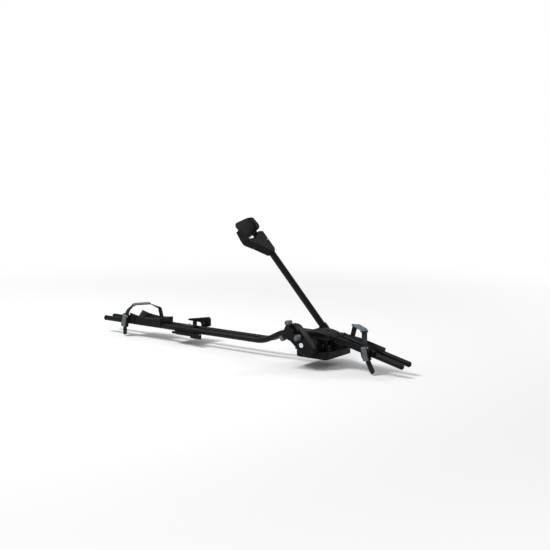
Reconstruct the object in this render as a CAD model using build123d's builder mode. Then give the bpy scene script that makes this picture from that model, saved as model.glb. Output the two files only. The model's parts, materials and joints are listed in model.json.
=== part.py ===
"""Roof bike carrier: two tubes on two crossbar feet, wheel trays with straps, and a folding clamp arm."""
from build123d import *
from math import cos, radians, sin, tan
import os

os.makedirs("parts", exist_ok=True)

# Frame: +X is the driving direction, +Z is up, and the origin lies on the front crossbar
# under the arm's pivot. All lengths are millimetres and all angles are degrees.
# The near side is -Y, where the knob, the lock and the buckles are.

# Fits shared by every sub-part
overrun = 4
seat_gap = 0.3
bearing_gap = 0.05
side_gap = 0.5

# Carrying tubes
tube_diameter = 20
tube_wall = 1.8
tube_spacing = 48
low_height = 23
raised_height = 70
tube_tail = 195
rise_foot_reach = 246
rise_head_reach = 152
nose_start_reach = 58
front_reach = 330
nose_slope = 13.4
rise_radius = 130
nose_radius = 150
plug_cap = 8
plug_shank = 18
plug_slope = 4

# Wheel trays, each measured from its own home point on the tubes' centre lines
tray_width = 76
tray_skin = 2.5
tray_wall = 3.5
tray_floor = 3
groove_foot = 16
groove_mouth = 67
groove_height = 24
tray_round = 4
rear_tray_behind = 217
rear_tray_back = 54
rear_tray_ahead = 103
rear_tray_seat = 8.5
rear_tray_curve = 340
rear_tray_drop = 0.5
rear_wall_tail = 37
rear_wall_dip = 24
rear_wall_tip = 29
rear_dip_reach = 36
front_tray_reach = 140
front_tray_back = 88
front_tray_ahead = 90
front_tray_seat = -8.5
front_tray_curve = 900
front_tray_drop = 5.5
front_skirt_drop = 11
front_skirt_reach = 30
front_wall_tail = 9
front_wall_crest = 17
front_crest_reach = 8
badge_length = 48
badge_height = 13
badge_depth = 0.8
rear_badge_shift = 69
rear_badge_lift = 13
front_badge_shift = -58
front_badge_lift = 0
tray_cap_reach = 68
tray_cap_radius = 10.5
tray_cap_height = 15
tray_cap_slope = 5

# Straps and their sleeves
strap_width = 19
strap_thickness = 2.4
strap_step = 5
sleeve_width = 26
sleeve_thickness = 7.5
sleeve_gap = 0.4
sleeve_lap = 6
strap_bend = 13
strap_top_side = 17
tail_depth = 49
tail_drop = 27
anchor_head_radius = 7
anchor_head = 2.5
anchor_shank_radius = 3
strap_end = 9

# Ratchet buckles, measured from the near wall of their tray
buckle_width = 27
buckle_height = 49
buckle_plate = 3
buckle_cheek = 2.4
buckle_depth = 19
buckle_round = 5
pin_radius = 2.5
pin_depth = 13
pin_lift = 19
lever_hub = 4.6
lever_length = 44
lever_plate = 4.2
lever_round = 4
lever_groove = 1
lever_groove_shares = (0.35, 0.45, 0.55, 0.65, 0.75, 0.85)
rear_buckle_behind = 71
rear_buckle_height = 30
rear_buckle_lean = 14
front_buckle_ahead = 63
front_buckle_height = 38
front_buckle_lean = -12
buckle_ear = 26

# Where the straps pass, measured along the tubes from the home point of their tray
rear_near_top_ahead = -51
rear_near_top_height = 91.5
rear_far_top_ahead = -2.5
rear_far_top_height = 95.5
rear_anchor_ahead = 47
rear_anchor_height = 38
front_near_top_ahead = 38
front_near_top_height = 112
front_far_top_ahead = -20
front_far_top_height = 117.5
front_anchor_ahead = -50
front_tail_run = 32
front_anchor_height = 65

# Front foot: body, cover, pad and the bolts in the crossbar's slot
foot_back = 65
foot_ahead = 68
foot_near = 82
foot_far = 77
foot_deck = 28
foot_shelf = 11
shelf_start = 50
corner_start = 27
corner_rise = 8
foot_round = 14
foot_rim = 5
rim_depth = 2.5
pad_thickness = 3
pad_inset = 6
house_back = 62
house_ahead = 50
house_near = 52
house_far = 42
house_floor = 24
web_reach = 112
web_half_width = 30
web_clearance = 13.5
web_thickness = 5
near_boss_radius = 32
near_boss_end = 86
far_boss_radius = 26
far_boss_end = 48
rib_reach = 58
rib_thickness = 5
rib_depth = 63
rib_waist = 45
rib_top = 76
flange_height = 70
core_depth = 20
core_width = 18
cover_top = 89
cover_front_top = 80
cover_half_width = 38
cover_round = 9
cover_screw_reach = 22
cover_screw_radius = 3
cover_screw_head = 5.5
cover_screw_length = 22
bolt_side = 34
bolt_radius = 3
bolt_head = 16
bolt_head_width = 10
bolt_head_height = 3.5
slot_depth = 3
bolt_rise = 19
nut_radius = 5.8
nut_height = 5
window_width = 22
window_floor = 12
window_top = 22

# Pivot of the folding arm
pivot_height = 36
shaft_radius = 10
shaft_bore = 7
shaft_near = 114
shaft_far = 74
bush_radius = 12.5
bush_length = 20
bush_flange = 15
bush_lip = 1.5
window_radius = 4

# Folding arm
arm_rise = 47.2
arm_side = 62
arm_level = 1.6
arm_depth = 25
arm_width = 20
arm_wall = 1.6
arm_start = 22
arm_end = 436
socket_eye = 24
socket_width = 24
socket_wall = 4
socket_start = 12
socket_end = 75
rivet_radius = 2.5
rivet_head = 4
rivet_dome = 1.2
rivet_reach = 60

# Lever housing on the near end of the shaft, in side view about the shaft
housing_back = 88
housing_split = 103
housing_front = 118
housing_wall = 2.6
housing_edge = 2
housing_tail = 30
housing_nose = 106
housing_top = 30
housing_belly = 34
housing_sweep = 40
housing_shares = (
    (-1, -0.235), (-1, 0.8), (-0.6, 1), (0.79, 1), (1, 0.4),
    (1, -0.41), (0.81, -1), (0.66, -0.91), (0.236, -0.706), (-0.267, -0.56),
)
housing_round_shares = (0.2, 0.2, 0.3, 0.5, 0.4, 0.35, 0.25, 1, 1, 0.3)
lug_shares = ((0.66, -0.868), (0.255, -0.676), (-0.267, -0.515), (-0.733, 0.667), (0.868, 0.6))
knob_reach = 78
lock_reach = 20.8
lock_radius = 8.3
lock_stand = 0.8
plug_radius = 5.5
plug_length = 10
key_width = 1.4
key_length = 7
cam_length = 12
cam_width = 7
cam_thickness = 2.5
lug_radius = 5
screw_radius = 1.6
screw_head = 3
screw_length = 20
frame_near = 96
frame_thickness = 4
frame_width = 26
key_depth = 1.5
key_span = 5

# Torque knob
knob_gap = 0.6
collar_radius = 30
collar_height = 7
knob_hub = 20
knob_height = 24
lobe_reach = 42.5
lobe_width = 19
lobe_start = 5
grip_start = 29
grip_wrap = 1.6
knob_turn = 35
lobes = 3
cap_radius = 8
cap_height = 1.4
spindle_radius = 5
drum_radius = 13
drum_near = 108
drum_length = 10
clutch_radius = 16
clutch_thickness = 2.5

# Clamp head, whose places along the arm are measured from the end of its tube
head_socket = 34
head_low = 14
head_high = 17
head_neck_near = 50
head_neck_far = 68
head_far = 76
shoulder_run = 12
head_tip_ahead = 61
throat_depth = 26
throat_half_width = 12
throat_edge = 30
throat_edge_run = 14
finger_side = 26
finger_thickness = 15
finger_run = 23
heel_run = 35
belly_run = 59
pocket_side = 44
pocket_half = 11
head_round = 2.5
head_edge = 2
head_sweep = 26
head_round_shares = (0.15, 0.31, 0.46, 0.19, 0.12, 0.15, 0.54, 0.62, 0.23, 0.15, 0.19, 0.69, 1)
cradle_pad = 3
cradle_half = 12
tooth_pitch = 4
tooth_depth = 1

# Claw
claw_pin_behind = 42
claw_pin_depth = 8
claw_pin_radius = 3
claw_half = 9.5
tail_length = 12
tail_radius = 5.5
tail_pin_radius = 2.5
tail_gap = 3.5
paddle_gap = 3
paddle_length = 74
paddle_low = 34
paddle_high = 38
paddle_cut = 26
paddle_root_inner = 28
paddle_root_outer = 45
paddle_tip_inner = 16
paddle_tip_outer = 30
paddle_round = 12
claw_pad = 3.5
claw_pad_margin = 6

# Pull rod and cable
rod_radius = 2.5
rod_side = 57
rod_start = 150
fork_low = 6
fork_high = 4.5
fork_half_length = 6.5
fork_thickness = 5
fork_play = 0.9
ferrule_depth = 15
cable_radius = 1.25
cable_bend = 9
cable_overlap = 6
drum_angle = 9.6
cable_short = 10

# Rear foot: saddle, keeper, pad, bolt and its two levers, measured along the tubes from the bolt
rear_foot_reach = 620
saddle_back = 44
saddle_ahead = 53
saddle_near = 36
saddle_far = 68
saddle_base = 3
saddle_shelf = 16
saddle_round = 5
saddle_edge = 1.5
keeper_length = 60
keeper_height = 12
keeper_trim = 16
lug_eye = 9
lug_thickness = 9
ear_base = -1
ear_radius = 7
hinge_radius = 3
cam_pivot_ahead = 35
cam_pivot_height = 40
cam_side = 60
cam_width = 14
cam_tip_behind = 51
cam_tip_height = 44
cam_tip_thickness = 5
cam_top = 63
cam_front_ahead = 54
cam_low = 27
cam_shoulder = 7
cam_sweep = 12
cam_round_shares = (0.17, 0.17, 0.42, 0.42, 0.33, 0.33, 0.67, 1)
cam_edge = 1
arch_front_ahead = 14
arch_rear_behind = 16
arch_top = 40
post_behind = 22
post_width = 12
post_top = 39.5
bar_pivot_ahead = 88
bar_pivot_side = 44
bar_tip_behind = 47
bar_thickness = 6
bar_height = 9
bar_floor = 6
bar_tip_round = 2
bar_sweep_run = 14
bar_eye_start = -120
bar_eye_turn = 210

# Places along the tubes and along the arm, worked out from the sizes above
rear_tray_reach = rear_foot_reach + rear_tray_behind
rear_reach = rear_tray_reach + tube_tail
cam_pivot_reach = rear_foot_reach - cam_pivot_ahead
cam_tip_reach = rear_foot_reach + cam_tip_behind
cam_front = rear_foot_reach - cam_front_ahead
arch_front_reach = rear_foot_reach - arch_front_ahead
arch_rear_reach = rear_foot_reach + arch_rear_behind
post_reach = rear_foot_reach + post_behind
bar_pivot_reach = rear_foot_reach - bar_pivot_ahead
bar_tip_reach = rear_foot_reach + bar_tip_behind
bar_outer = -bar_pivot_side - bar_thickness / 2
bar_inner = -bar_pivot_side + bar_thickness / 4
head_start = arm_end - head_socket
head_shoulder = head_start + shoulder_run
head_tip = arm_end + head_tip_ahead
throat_floor = head_tip - throat_depth
throat_edge_reach = head_tip - throat_edge_run
finger_tip = head_tip + finger_run
heel_reach = head_tip - heel_run
belly_reach = head_tip - belly_run
pocket_start = arm_end + overrun
claw_pin_reach = head_tip - claw_pin_behind
claw_pin_side = head_far - claw_pin_depth
paddle_start = head_tip + paddle_gap
paddle_end = paddle_start + paddle_length
rear_buckle_reach = rear_tray_reach + rear_buckle_behind
front_buckle_reach = front_tray_reach + front_buckle_ahead
rear_anchor_reach = rear_anchor_ahead - rear_tray_reach
front_anchor_reach = front_tray_reach + front_anchor_ahead
cable_reach = knob_reach - cable_short

# Other values worked out from the sizes above
tube_radius = tube_diameter / 2
tube_side = tube_spacing / 2
nose_run = front_reach - nose_start_reach
nose_grade = tan(radians(nose_slope))
tube_route = [
    (-rear_reach, low_height),
    (-rise_foot_reach, low_height),
    (-rise_head_reach, raised_height),
    (nose_start_reach, raised_height),
    (front_reach, raised_height - nose_grade * nose_run),
]
tube_radii = [rise_radius, rise_radius, nose_radius]
nose_axis = Vector(cos(radians(nose_slope)), 0, -sin(radians(nose_slope)))
pivot = Vector(0, 0, pivot_height)
sideways = Vector(0, 1, 0)
along = Vector(-cos(radians(arm_rise)), 0, sin(radians(arm_rise)))
across = Vector(sin(radians(arm_rise)), 0, cos(radians(arm_rise)))
wall_side = tray_width / 2


def finish(piece, name):
    """Labels a finished sub-part and writes it."""
    piece.part.label = name
    export_step(piece.part, f"parts/{name}.step")


def tube_path(side):
    """The centre line of one carrying tube."""
    with BuildLine(Plane.XZ.offset(-side)) as path:
        FilletPolyline(*tube_route, radius=tube_radii)
    return path.line


def nose_height(reach):
    """Height of the tubes' centre lines on the sloping nose."""
    return raised_height - nose_grade * (reach - nose_start_reach)


def side_plane(side):
    """Square to the pivot: x along the arm, y across it, extruding towards the far side."""
    return Plane(origin=pivot + sideways * side, x_dir=along, z_dir=sideways)


def palm_plane(level):
    """Flat in the arm's head: x along the arm, y towards the far side, extruding downwards."""
    return Plane(origin=pivot + across * level, x_dir=along, z_dir=-across)


def section_plane(reach):
    """Across the arm at a distance from the pivot: x towards the far side, extruding along the arm."""
    return Plane(origin=pivot + along * reach, x_dir=sideways, z_dir=along)


# The two carrying tubes, and the room that they take in the pieces round them
for name, side in (("near_tube", -tube_side), ("far_tube", tube_side)):
    route = tube_path(side)
    with BuildPart() as tube:
        with BuildSketch(Plane(origin=route @ 0, z_dir=route % 0)):
            Circle(tube_radius)
            Circle(tube_radius - tube_wall, mode=Mode.SUBTRACT)
        sweep(path=route)
    finish(tube, name)


def make_tube_room(gap):
    """The space that both tubes take, with a gap all round."""
    with BuildPart() as room:
        for side in (-tube_side, tube_side):
            route = tube_path(side)
            with BuildSketch(Plane(origin=route @ 0, z_dir=route % 0)):
                Circle(tube_radius + gap)
            sweep(path=route)
    return room.part


fixed_room = make_tube_room(bearing_gap)
sliding_room = make_tube_room(seat_gap)

# Plugs with sloping rims in the tubes' open ends
for name, end in (("rear_tube_plugs", 0), ("front_tube_plugs", 1)):
    with BuildPart() as plugs:
        for side in (-tube_side, tube_side):
            route = tube_path(side)
            outward = (route % end) * (2 * end - 1)
            mouth = Plane(origin=route @ end, z_dir=outward)
            with BuildSketch(mouth):
                Circle(tube_radius)
            extrude(amount=plug_cap)
            rim = plugs.edges().filter_by(GeomType.CIRCLE).group_by(Axis(route @ end, outward))[-1]
            chamfer(rim.filter_by(lambda e: e.center().Y * side > 0), plug_slope)
            with BuildSketch(mouth):
                Circle(tube_radius - tube_wall - bearing_gap)
            extrude(amount=-plug_shank)
    finish(plugs, name)


# Wheel trays: a grooved block on the tubes between two side walls
def make_tray(name, home, back, ahead, seat, drop, curve, wall_line, badge_shift, badge_lift, room):
    """One tray in its own plane: x along the tubes, z square to them, origin midway between them."""
    rear_section = Plane(origin=home.from_local_coords((-back, 0, 0)), x_dir=home.y_dir, z_dir=home.x_dir)
    mid_section = Plane(origin=home.origin, x_dir=home.y_dir, z_dir=home.x_dir)
    near_view = Plane(origin=home.origin, x_dir=home.x_dir, z_dir=-home.y_dir)
    keel = seat - tray_floor
    wheel_axis = Axis(home.from_local_coords((0, 0, seat + curve)), home.y_dir)
    with BuildPart() as tray:
        with BuildSketch(near_view.offset(-wall_side)):
            with BuildLine():
                wall_line()
            make_face()
        extrude(amount=tray_width)
        with BuildSketch(rear_section):
            with Locations((0, -drop - front_skirt_drop)):
                Rectangle(tray_width - 2 * tray_wall, 2 * front_skirt_drop)
        extrude(amount=back + ahead, mode=Mode.SUBTRACT)
        if keel < -drop:
            with BuildSketch(rear_section):
                with Locations((0, (keel - drop) / 2)):
                    Rectangle(groove_foot + 2 * tray_floor, -drop - keel + tray_floor)
            extrude(amount=back + ahead)
        with BuildSketch(mid_section):
            with BuildLine():
                Polyline(
                    (-groove_foot / 2, seat), (groove_foot / 2, seat),
                    (groove_mouth / 2, seat + groove_height), (groove_mouth / 2, curve / 4),
                    (-groove_mouth / 2, curve / 4), (-groove_mouth / 2, seat + groove_height), close=True,
                )
            make_face()
        revolve(axis=wheel_axis, mode=Mode.SUBTRACT)
        with BuildSketch(rear_section):
            with Locations((-tube_side, 0), (tube_side, 0)):
                Circle(tube_radius + tray_skin)
            with Locations((0, -drop - tube_diameter)):
                Rectangle(tray_width, 2 * tube_diameter, mode=Mode.SUBTRACT)
        extrude(amount=back + ahead)
        with BuildSketch(near_view.offset(wall_side)):
            with Locations((badge_shift, badge_lift)):
                RectangleRounded(badge_length, badge_height, tray_round / 2)
        extrude(amount=-badge_depth, mode=Mode.SUBTRACT)
        add(room, mode=Mode.SUBTRACT)
    finish(tray, name)
    return tray.part


def rear_wall_line():
    """Side view of the rear tray: its wall tops dip in the middle."""
    Polyline(
        (rear_tray_ahead, rear_wall_tip), (rear_tray_ahead, -rear_tray_drop),
        (-rear_tray_back, -rear_tray_drop), (-rear_tray_back, rear_wall_tail),
    )
    ThreePointArc(
        (-rear_tray_back, rear_wall_tail), (rear_dip_reach, rear_wall_dip), (rear_tray_ahead, rear_wall_tip)
    )


def front_wall_line():
    """Side view of the front tray: deep skirts at its rear end, level walls along the nose."""
    Polyline(
        (-front_tray_back, -front_skirt_drop), (-front_tray_back, front_wall_tail),
        (-front_crest_reach, front_wall_crest), (front_tray_ahead, front_wall_crest),
        (front_tray_ahead, -front_tray_drop), (-front_skirt_reach, -front_tray_drop),
        (-front_skirt_reach - front_skirt_drop, -front_skirt_drop), close=True,
    )


rear_home = Plane(origin=(-rear_tray_reach, 0, low_height), x_dir=(1, 0, 0), z_dir=(0, 0, 1))
front_home = Plane(
    origin=(front_tray_reach, 0, nose_height(front_tray_reach)),
    x_dir=nose_axis,
    z_dir=(-nose_axis.Z, 0, nose_axis.X),
)
make_tray(
    "rear_tray", rear_home, rear_tray_back, rear_tray_ahead, rear_tray_seat, rear_tray_drop,
    rear_tray_curve, rear_wall_line, rear_badge_shift, rear_badge_lift, sliding_room,
)
front_tray = make_tray(
    "front_tray", front_home, front_tray_back, front_tray_ahead, front_tray_seat, front_tray_drop,
    front_tray_curve, front_wall_line, front_badge_shift, front_badge_lift, fixed_room,
)

# Caps over the bolts that hold the front tray on the tubes
with BuildPart() as tray_caps:
    for side in (-tube_side, tube_side):
        foot = Vector(tray_cap_reach, side, nose_height(tray_cap_reach))
        with BuildSketch(Plane(origin=foot, x_dir=nose_axis, z_dir=front_home.z_dir)):
            Circle(tray_cap_radius)
        extrude(amount=tray_cap_height)
        rim = tray_caps.edges().filter_by(GeomType.CIRCLE).filter_by(lambda e: e.center().Y * side > 0)
        chamfer(rim.sort_by(Axis(foot, front_home.z_dir))[-1], tray_cap_slope)
    add(front_tray, mode=Mode.SUBTRACT)
    add(fixed_room, mode=Mode.SUBTRACT)
finish(tray_caps, "front_tray_caps")


# Ratchet buckles on the trays' near walls, each with a pin and a lever that swings outwards
def make_buckle(prefix, reach, height, lean, ear):
    """One buckle: a back plate with two cheeks, a pin and a lever."""
    width_dir = Vector(cos(radians(lean)), 0, -sin(radians(lean)))
    up_dir = Vector(sin(radians(lean)), 0, cos(radians(lean)))
    origin = Vector(reach, -wall_side, height)
    face = Plane(origin=origin, x_dir=width_dir, z_dir=-sideways)
    low = -buckle_height / 2
    lever_width = buckle_width - 2 * buckle_cheek - 2 * side_gap
    pin_line = origin - sideways * pin_depth + up_dir * pin_lift
    with BuildPart() as body:
        with BuildSketch(face):
            RectangleRounded(buckle_width, buckle_height, buckle_cheek)
            if ear:
                with Locations((buckle_width / 2, low + buckle_height - ear / 2)):
                    RectangleRounded(2 * ear, ear, buckle_round)
        extrude(amount=buckle_plate)
        for shift in (-buckle_width / 2, buckle_width / 2 - buckle_cheek):
            cheek = origin + width_dir * (shift + buckle_cheek)
            with BuildSketch(Plane(origin=cheek, x_dir=-sideways, z_dir=-width_dir)):
                with BuildLine():
                    FilletPolyline(
                        (0, low), (buckle_depth / 2, low), (buckle_depth, low / 3),
                        (buckle_depth, pin_lift - lever_hub), (pin_depth, -low), (0, -low),
                        radius=[buckle_round, buckle_round, buckle_round, buckle_round],
                    )
                    Line((0, -low), (0, low))
                make_face()
            extrude(amount=buckle_cheek)
        with BuildSketch(Plane(origin=pin_line, x_dir=-sideways, z_dir=width_dir)):
            Circle(pin_radius + bearing_gap)
        extrude(amount=buckle_width, both=True, mode=Mode.SUBTRACT)
    finish(body, f"{prefix}_buckle_body")
    with BuildPart() as pin:
        with BuildSketch(Plane(origin=pin_line, x_dir=-sideways, z_dir=width_dir)):
            Circle(pin_radius)
        extrude(amount=buckle_width / 2 + side_gap, both=True)
        chamfer(pin.edges().filter_by(GeomType.CIRCLE), side_gap)
    finish(pin, f"{prefix}_buckle_pin")
    with BuildPart() as lever:
        with BuildSketch(Plane(origin=pin_line, x_dir=-sideways, z_dir=-width_dir)):
            Circle(lever_hub)
            with Locations((lever_hub - lever_plate / 2, -lever_length / 2)):
                Rectangle(lever_plate, lever_length)
        extrude(amount=lever_width / 2, both=True)
        free_end = lever.edges().filter_by(Axis(pin_line, sideways)).group_by(Axis(pin_line, up_dir))[0]
        fillet(free_end, lever_round)
        for share in lever_groove_shares:
            groove = pin_line - up_dir * (lever_length * share) - sideways * lever_hub
            with BuildSketch(Plane(origin=groove, x_dir=-sideways, z_dir=width_dir)):
                Circle(lever_groove)
            extrude(amount=lever_width / 2 - lever_round / 2, both=True, mode=Mode.SUBTRACT)
        with BuildSketch(Plane(origin=pin_line, x_dir=-sideways, z_dir=width_dir)):
            Circle(pin_radius + 2 * bearing_gap)
        extrude(amount=buckle_width, both=True, mode=Mode.SUBTRACT)
    finish(lever, f"{prefix}_buckle_lever")


make_buckle("rear", -rear_buckle_reach, rear_buckle_height, rear_buckle_lean, buckle_ear)
make_buckle("front", front_buckle_reach, front_buckle_height, front_buckle_lean, 0)


# Straps: flat ribbons from the hanging tail, through the buckle and over the rim, to the far wall
def make_strap(prefix, route, radii):
    """One strap with the soft sleeve over its top and the stud that holds its far end."""
    with BuildLine() as line:
        FilletPolyline(*route, radius=radii)
    path = line.wire()
    corners = [Vector(*point) for point in route]
    runs = [(after - before).length for before, after in zip(corners, corners[1:])]
    heading = (corners[-3] - corners[2]).normalized()
    level = Vector(heading.Y, -heading.X, 0).normalized()
    count = round(path.length / strap_step)
    buckle_share = (runs[0] + buckle_height) / path.length
    far_share = 1 - runs[-1] / path.length

    def station(share, width, thickness):
        """The ribbon's cross-section at a share of its length."""
        tangent = path % share
        above = min(max(share - buckle_share, 0) / (far_share - buckle_share), 1)
        blend = sin(radians(180 * above)) ** 2
        wish = Vector(1, 0, 0) * (1 - blend) + level * blend
        broad = (wish - tangent * wish.dot(tangent)).normalized()
        with BuildSketch(Plane(origin=path @ share, x_dir=broad, z_dir=tangent)) as section:
            Rectangle(width, thickness)
        return section.sketch

    with BuildPart() as strap:
        ribbon = [station(i / count, strap_width, strap_thickness) for i in range(count + 1)]
        loft(sections=ribbon, ruled=True)
        stud = Plane(origin=corners[-1] + Vector(0, 0, strap_end), x_dir=(1, 0, 0), z_dir=sideways)
        with BuildSketch(stud):
            Circle(anchor_shank_radius + bearing_gap)
        extrude(amount=strap_thickness * 2, both=True, mode=Mode.SUBTRACT)
    finish(strap, f"{prefix}_strap")
    first = round(count * (sum(runs[:3]) - sleeve_lap) / sum(runs))
    last = round(count * (sum(runs[:4]) + sleeve_lap) / sum(runs))
    spans = range(first, last + 1)
    bore_width = strap_width + 2 * sleeve_gap
    bore_thickness = strap_thickness + 2 * sleeve_gap
    with BuildPart() as sleeve:
        loft(sections=[station(i / count, sleeve_width, sleeve_thickness) for i in spans], ruled=True)
        bore = [station(i / count, bore_width, bore_thickness) for i in range(first - 1, last + 2)]
        loft(sections=bore, ruled=True, mode=Mode.SUBTRACT)
    finish(sleeve, f"{prefix}_strap_sleeve")
    with BuildPart() as anchor:
        with BuildSketch(stud.offset(-strap_thickness / 2 - seat_gap)):
            Circle(anchor_shank_radius)
        extrude(amount=strap_thickness + 2 * seat_gap)
        with BuildSketch(stud.offset(strap_thickness / 2 + seat_gap)):
            Circle(anchor_head_radius)
        extrude(amount=anchor_head)
        chamfer(anchor.edges().group_by(Axis.Y)[-1], anchor_head / 2)
    finish(anchor, f"{prefix}_strap_anchor")


strap_depth = wall_side + buckle_plate + sleeve_gap + strap_thickness / 2
strap_far = wall_side + seat_gap + strap_thickness / 2
buckle_half = buckle_height / 2
strap_radii = [3 * strap_bend, 2 * strap_bend, 2 * strap_bend, 2 * strap_bend, strap_bend]


def in_buckle(reach, height, lean, lift):
    """A point of the strap's route in line with a buckle, at a lift above its middle."""
    return (reach + tan(radians(lean)) * lift, -strap_depth, height + lift)


make_strap(
    "rear",
    [
        (-rear_buckle_reach, -tail_depth, -tail_drop),
        in_buckle(-rear_buckle_reach, rear_buckle_height, rear_buckle_lean, -buckle_half - sleeve_gap),
        in_buckle(-rear_buckle_reach, rear_buckle_height, rear_buckle_lean, buckle_half + strap_bend),
        (rear_near_top_ahead - rear_tray_reach, -strap_top_side, rear_near_top_height),
        (rear_far_top_ahead - rear_tray_reach, strap_top_side, rear_far_top_height),
        (rear_anchor_reach - strap_bend, strap_far, rear_anchor_height + 3 * strap_bend),
        (rear_anchor_reach, strap_far, rear_anchor_height - strap_end),
    ],
    strap_radii,
)
make_strap(
    "front",
    [
        (front_buckle_reach + front_tail_run, -tail_depth, -tail_drop),
        in_buckle(front_buckle_reach, front_buckle_height, front_buckle_lean, -buckle_half - sleeve_gap),
        in_buckle(front_buckle_reach, front_buckle_height, front_buckle_lean, buckle_half + strap_bend),
        (front_tray_reach + front_near_top_ahead, -strap_top_side, front_near_top_height),
        (front_tray_reach + front_far_top_ahead, strap_top_side, front_far_top_height),
        (front_anchor_reach + strap_bend, strap_far, front_anchor_height + 3 * strap_bend),
        (front_anchor_reach, strap_far, front_anchor_height - strap_end),
    ],
    strap_radii,
)

screw_seat = cover_front_top - overrun
house_middle = (house_ahead - house_back) / 2
cover_screw_places = [(house_middle - cover_screw_reach, 0), (house_middle + cover_screw_reach, 0)]

# Front foot body: a rimmed plate on the crossbar that carries the tubes' house and the pivot
with BuildPart() as foot:
    with BuildSketch(Plane.YZ.offset(-foot_back)):
        with BuildLine():
            Polyline(
                (-foot_near, pad_thickness), (-foot_near, foot_deck), (house_far, foot_deck),
                (shelf_start, foot_shelf), (foot_far, foot_shelf), (foot_far, pad_thickness), close=True,
            )
        make_face()
    extrude(amount=foot_back + foot_ahead)
    fillet(foot.edges().filter_by(Axis.Z), foot_round)
    # Raised corner ahead of the arm's socket
    with BuildSketch(Plane.XY.offset(foot_shelf - rim_depth)):
        with Locations(((foot_ahead + corner_start) / 2, (foot_far + house_far) / 2)):
            RectangleRounded(foot_ahead - corner_start, foot_far - house_far, foot_round)
    extrude(amount=corner_rise + rim_depth)
    with BuildSketch(Plane.XY.offset(foot_deck)):
        with Locations(((foot_ahead - foot_back) / 2, (house_far - foot_near) / 2)):
            RectangleRounded(
                foot_back + foot_ahead - 2 * foot_rim,
                foot_near + house_far - 2 * foot_rim,
                foot_round - foot_rim,
            )
    extrude(amount=-rim_depth, mode=Mode.SUBTRACT)
    # House round the tubes
    with BuildSketch(Plane.XY.offset(house_floor)):
        with Locations(((house_ahead - house_back) / 2, (house_far - house_near) / 2)):
            RectangleRounded(house_back + house_ahead, house_near + house_far, foot_rim)
    extrude(amount=raised_height - house_floor)
    # Web that reaches forward under the front tray
    with BuildSketch(Plane.XZ.offset(-web_half_width)):
        with BuildLine():
            Polyline(
                (house_ahead - overrun, house_floor), (rib_reach, house_floor),
                (web_reach, nose_height(web_reach) - web_clearance - web_thickness),
                (web_reach, nose_height(web_reach) - web_clearance),
                (rib_reach, nose_height(rib_reach) - web_clearance),
                (house_ahead - overrun, nose_height(rib_reach) - web_clearance), close=True,
            )
        make_face()
    extrude(amount=2 * web_half_width)
    # Upright ribs and the flange on the near side
    for reach in (rib_reach, rib_reach / 2 + rib_thickness):
        with BuildSketch(Plane.YZ.offset(reach)):
            with BuildLine():
                Polyline(
                    (-house_near + foot_rim, house_floor), (-rib_depth, house_floor), (-rib_depth, rib_waist)
                )
                RadiusArc((-rib_depth, rib_waist), (-wall_side - side_gap, rib_top), -rib_depth)
                Polyline((-wall_side - side_gap, rib_top), (-wall_side - side_gap, house_floor),
                         (-house_near + foot_rim, house_floor))
            make_face()
        extrude(amount=rib_thickness)
    with BuildSketch(Plane.XY.offset(flange_height)):
        with Locations((rib_reach / 2, -(rib_depth + wall_side) / 2)):
            Rectangle(rib_reach + rib_thickness, rib_depth - wall_side - 2 * side_gap)
    extrude(amount=-rib_thickness)
    # Round bosses that hold the pivot's bushes
    with BuildSketch(side_plane(-near_boss_end)):
        Circle(near_boss_radius)
    extrude(amount=near_boss_end - house_near)
    fillet(foot.edges().filter_by(GeomType.CIRCLE).group_by(Axis.Y)[0], rim_depth)
    with BuildSketch(side_plane(house_far)):
        Circle(far_boss_radius)
    extrude(amount=far_boss_end - house_far)
    # Room for the shaft, its bushes, the tubes, the bolts and their spanner
    with BuildSketch(side_plane(-near_boss_end)):
        Circle(bush_radius + bearing_gap)
    extrude(amount=bush_length, mode=Mode.SUBTRACT)
    with BuildSketch(side_plane(far_boss_end)):
        Circle(bush_radius + bearing_gap)
    extrude(amount=-bush_length, mode=Mode.SUBTRACT)
    with BuildSketch(side_plane(-near_boss_end)):
        Circle(shaft_radius + side_gap)
    extrude(amount=near_boss_end + far_boss_end, mode=Mode.SUBTRACT)
    with BuildSketch(Plane.YZ.offset(-foot_back)):
        window_middle = (window_floor + window_top) / 2
        with Locations((-bolt_side, window_middle), (bolt_side, window_middle)):
            Rectangle(window_width, window_top - window_floor)
    extrude(amount=foot_back + 2 * nut_radius, mode=Mode.SUBTRACT)
    with Locations((0, -bolt_side, window_floor), (0, bolt_side, window_floor)):
        Cylinder(bolt_radius + seat_gap, 2 * window_floor, mode=Mode.SUBTRACT)
    # Coring of the house between the tubes, and below
    for reach, length in ((-house_back, core_depth), (house_ahead, -core_depth)):
        with BuildSketch(Plane.YZ.offset(reach)):
            with Locations((0, raised_height)):
                RectangleRounded(core_width, raised_height, rim_depth)
        extrude(amount=length, mode=Mode.SUBTRACT)
    with BuildSketch(Plane.XY.offset(screw_seat)):
        with Locations(*cover_screw_places):
            Circle(cover_screw_radius + bearing_gap)
    extrude(amount=-cover_screw_length - seat_gap, mode=Mode.SUBTRACT)
    add(fixed_room, mode=Mode.SUBTRACT)
finish(foot, "foot_body")

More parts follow.
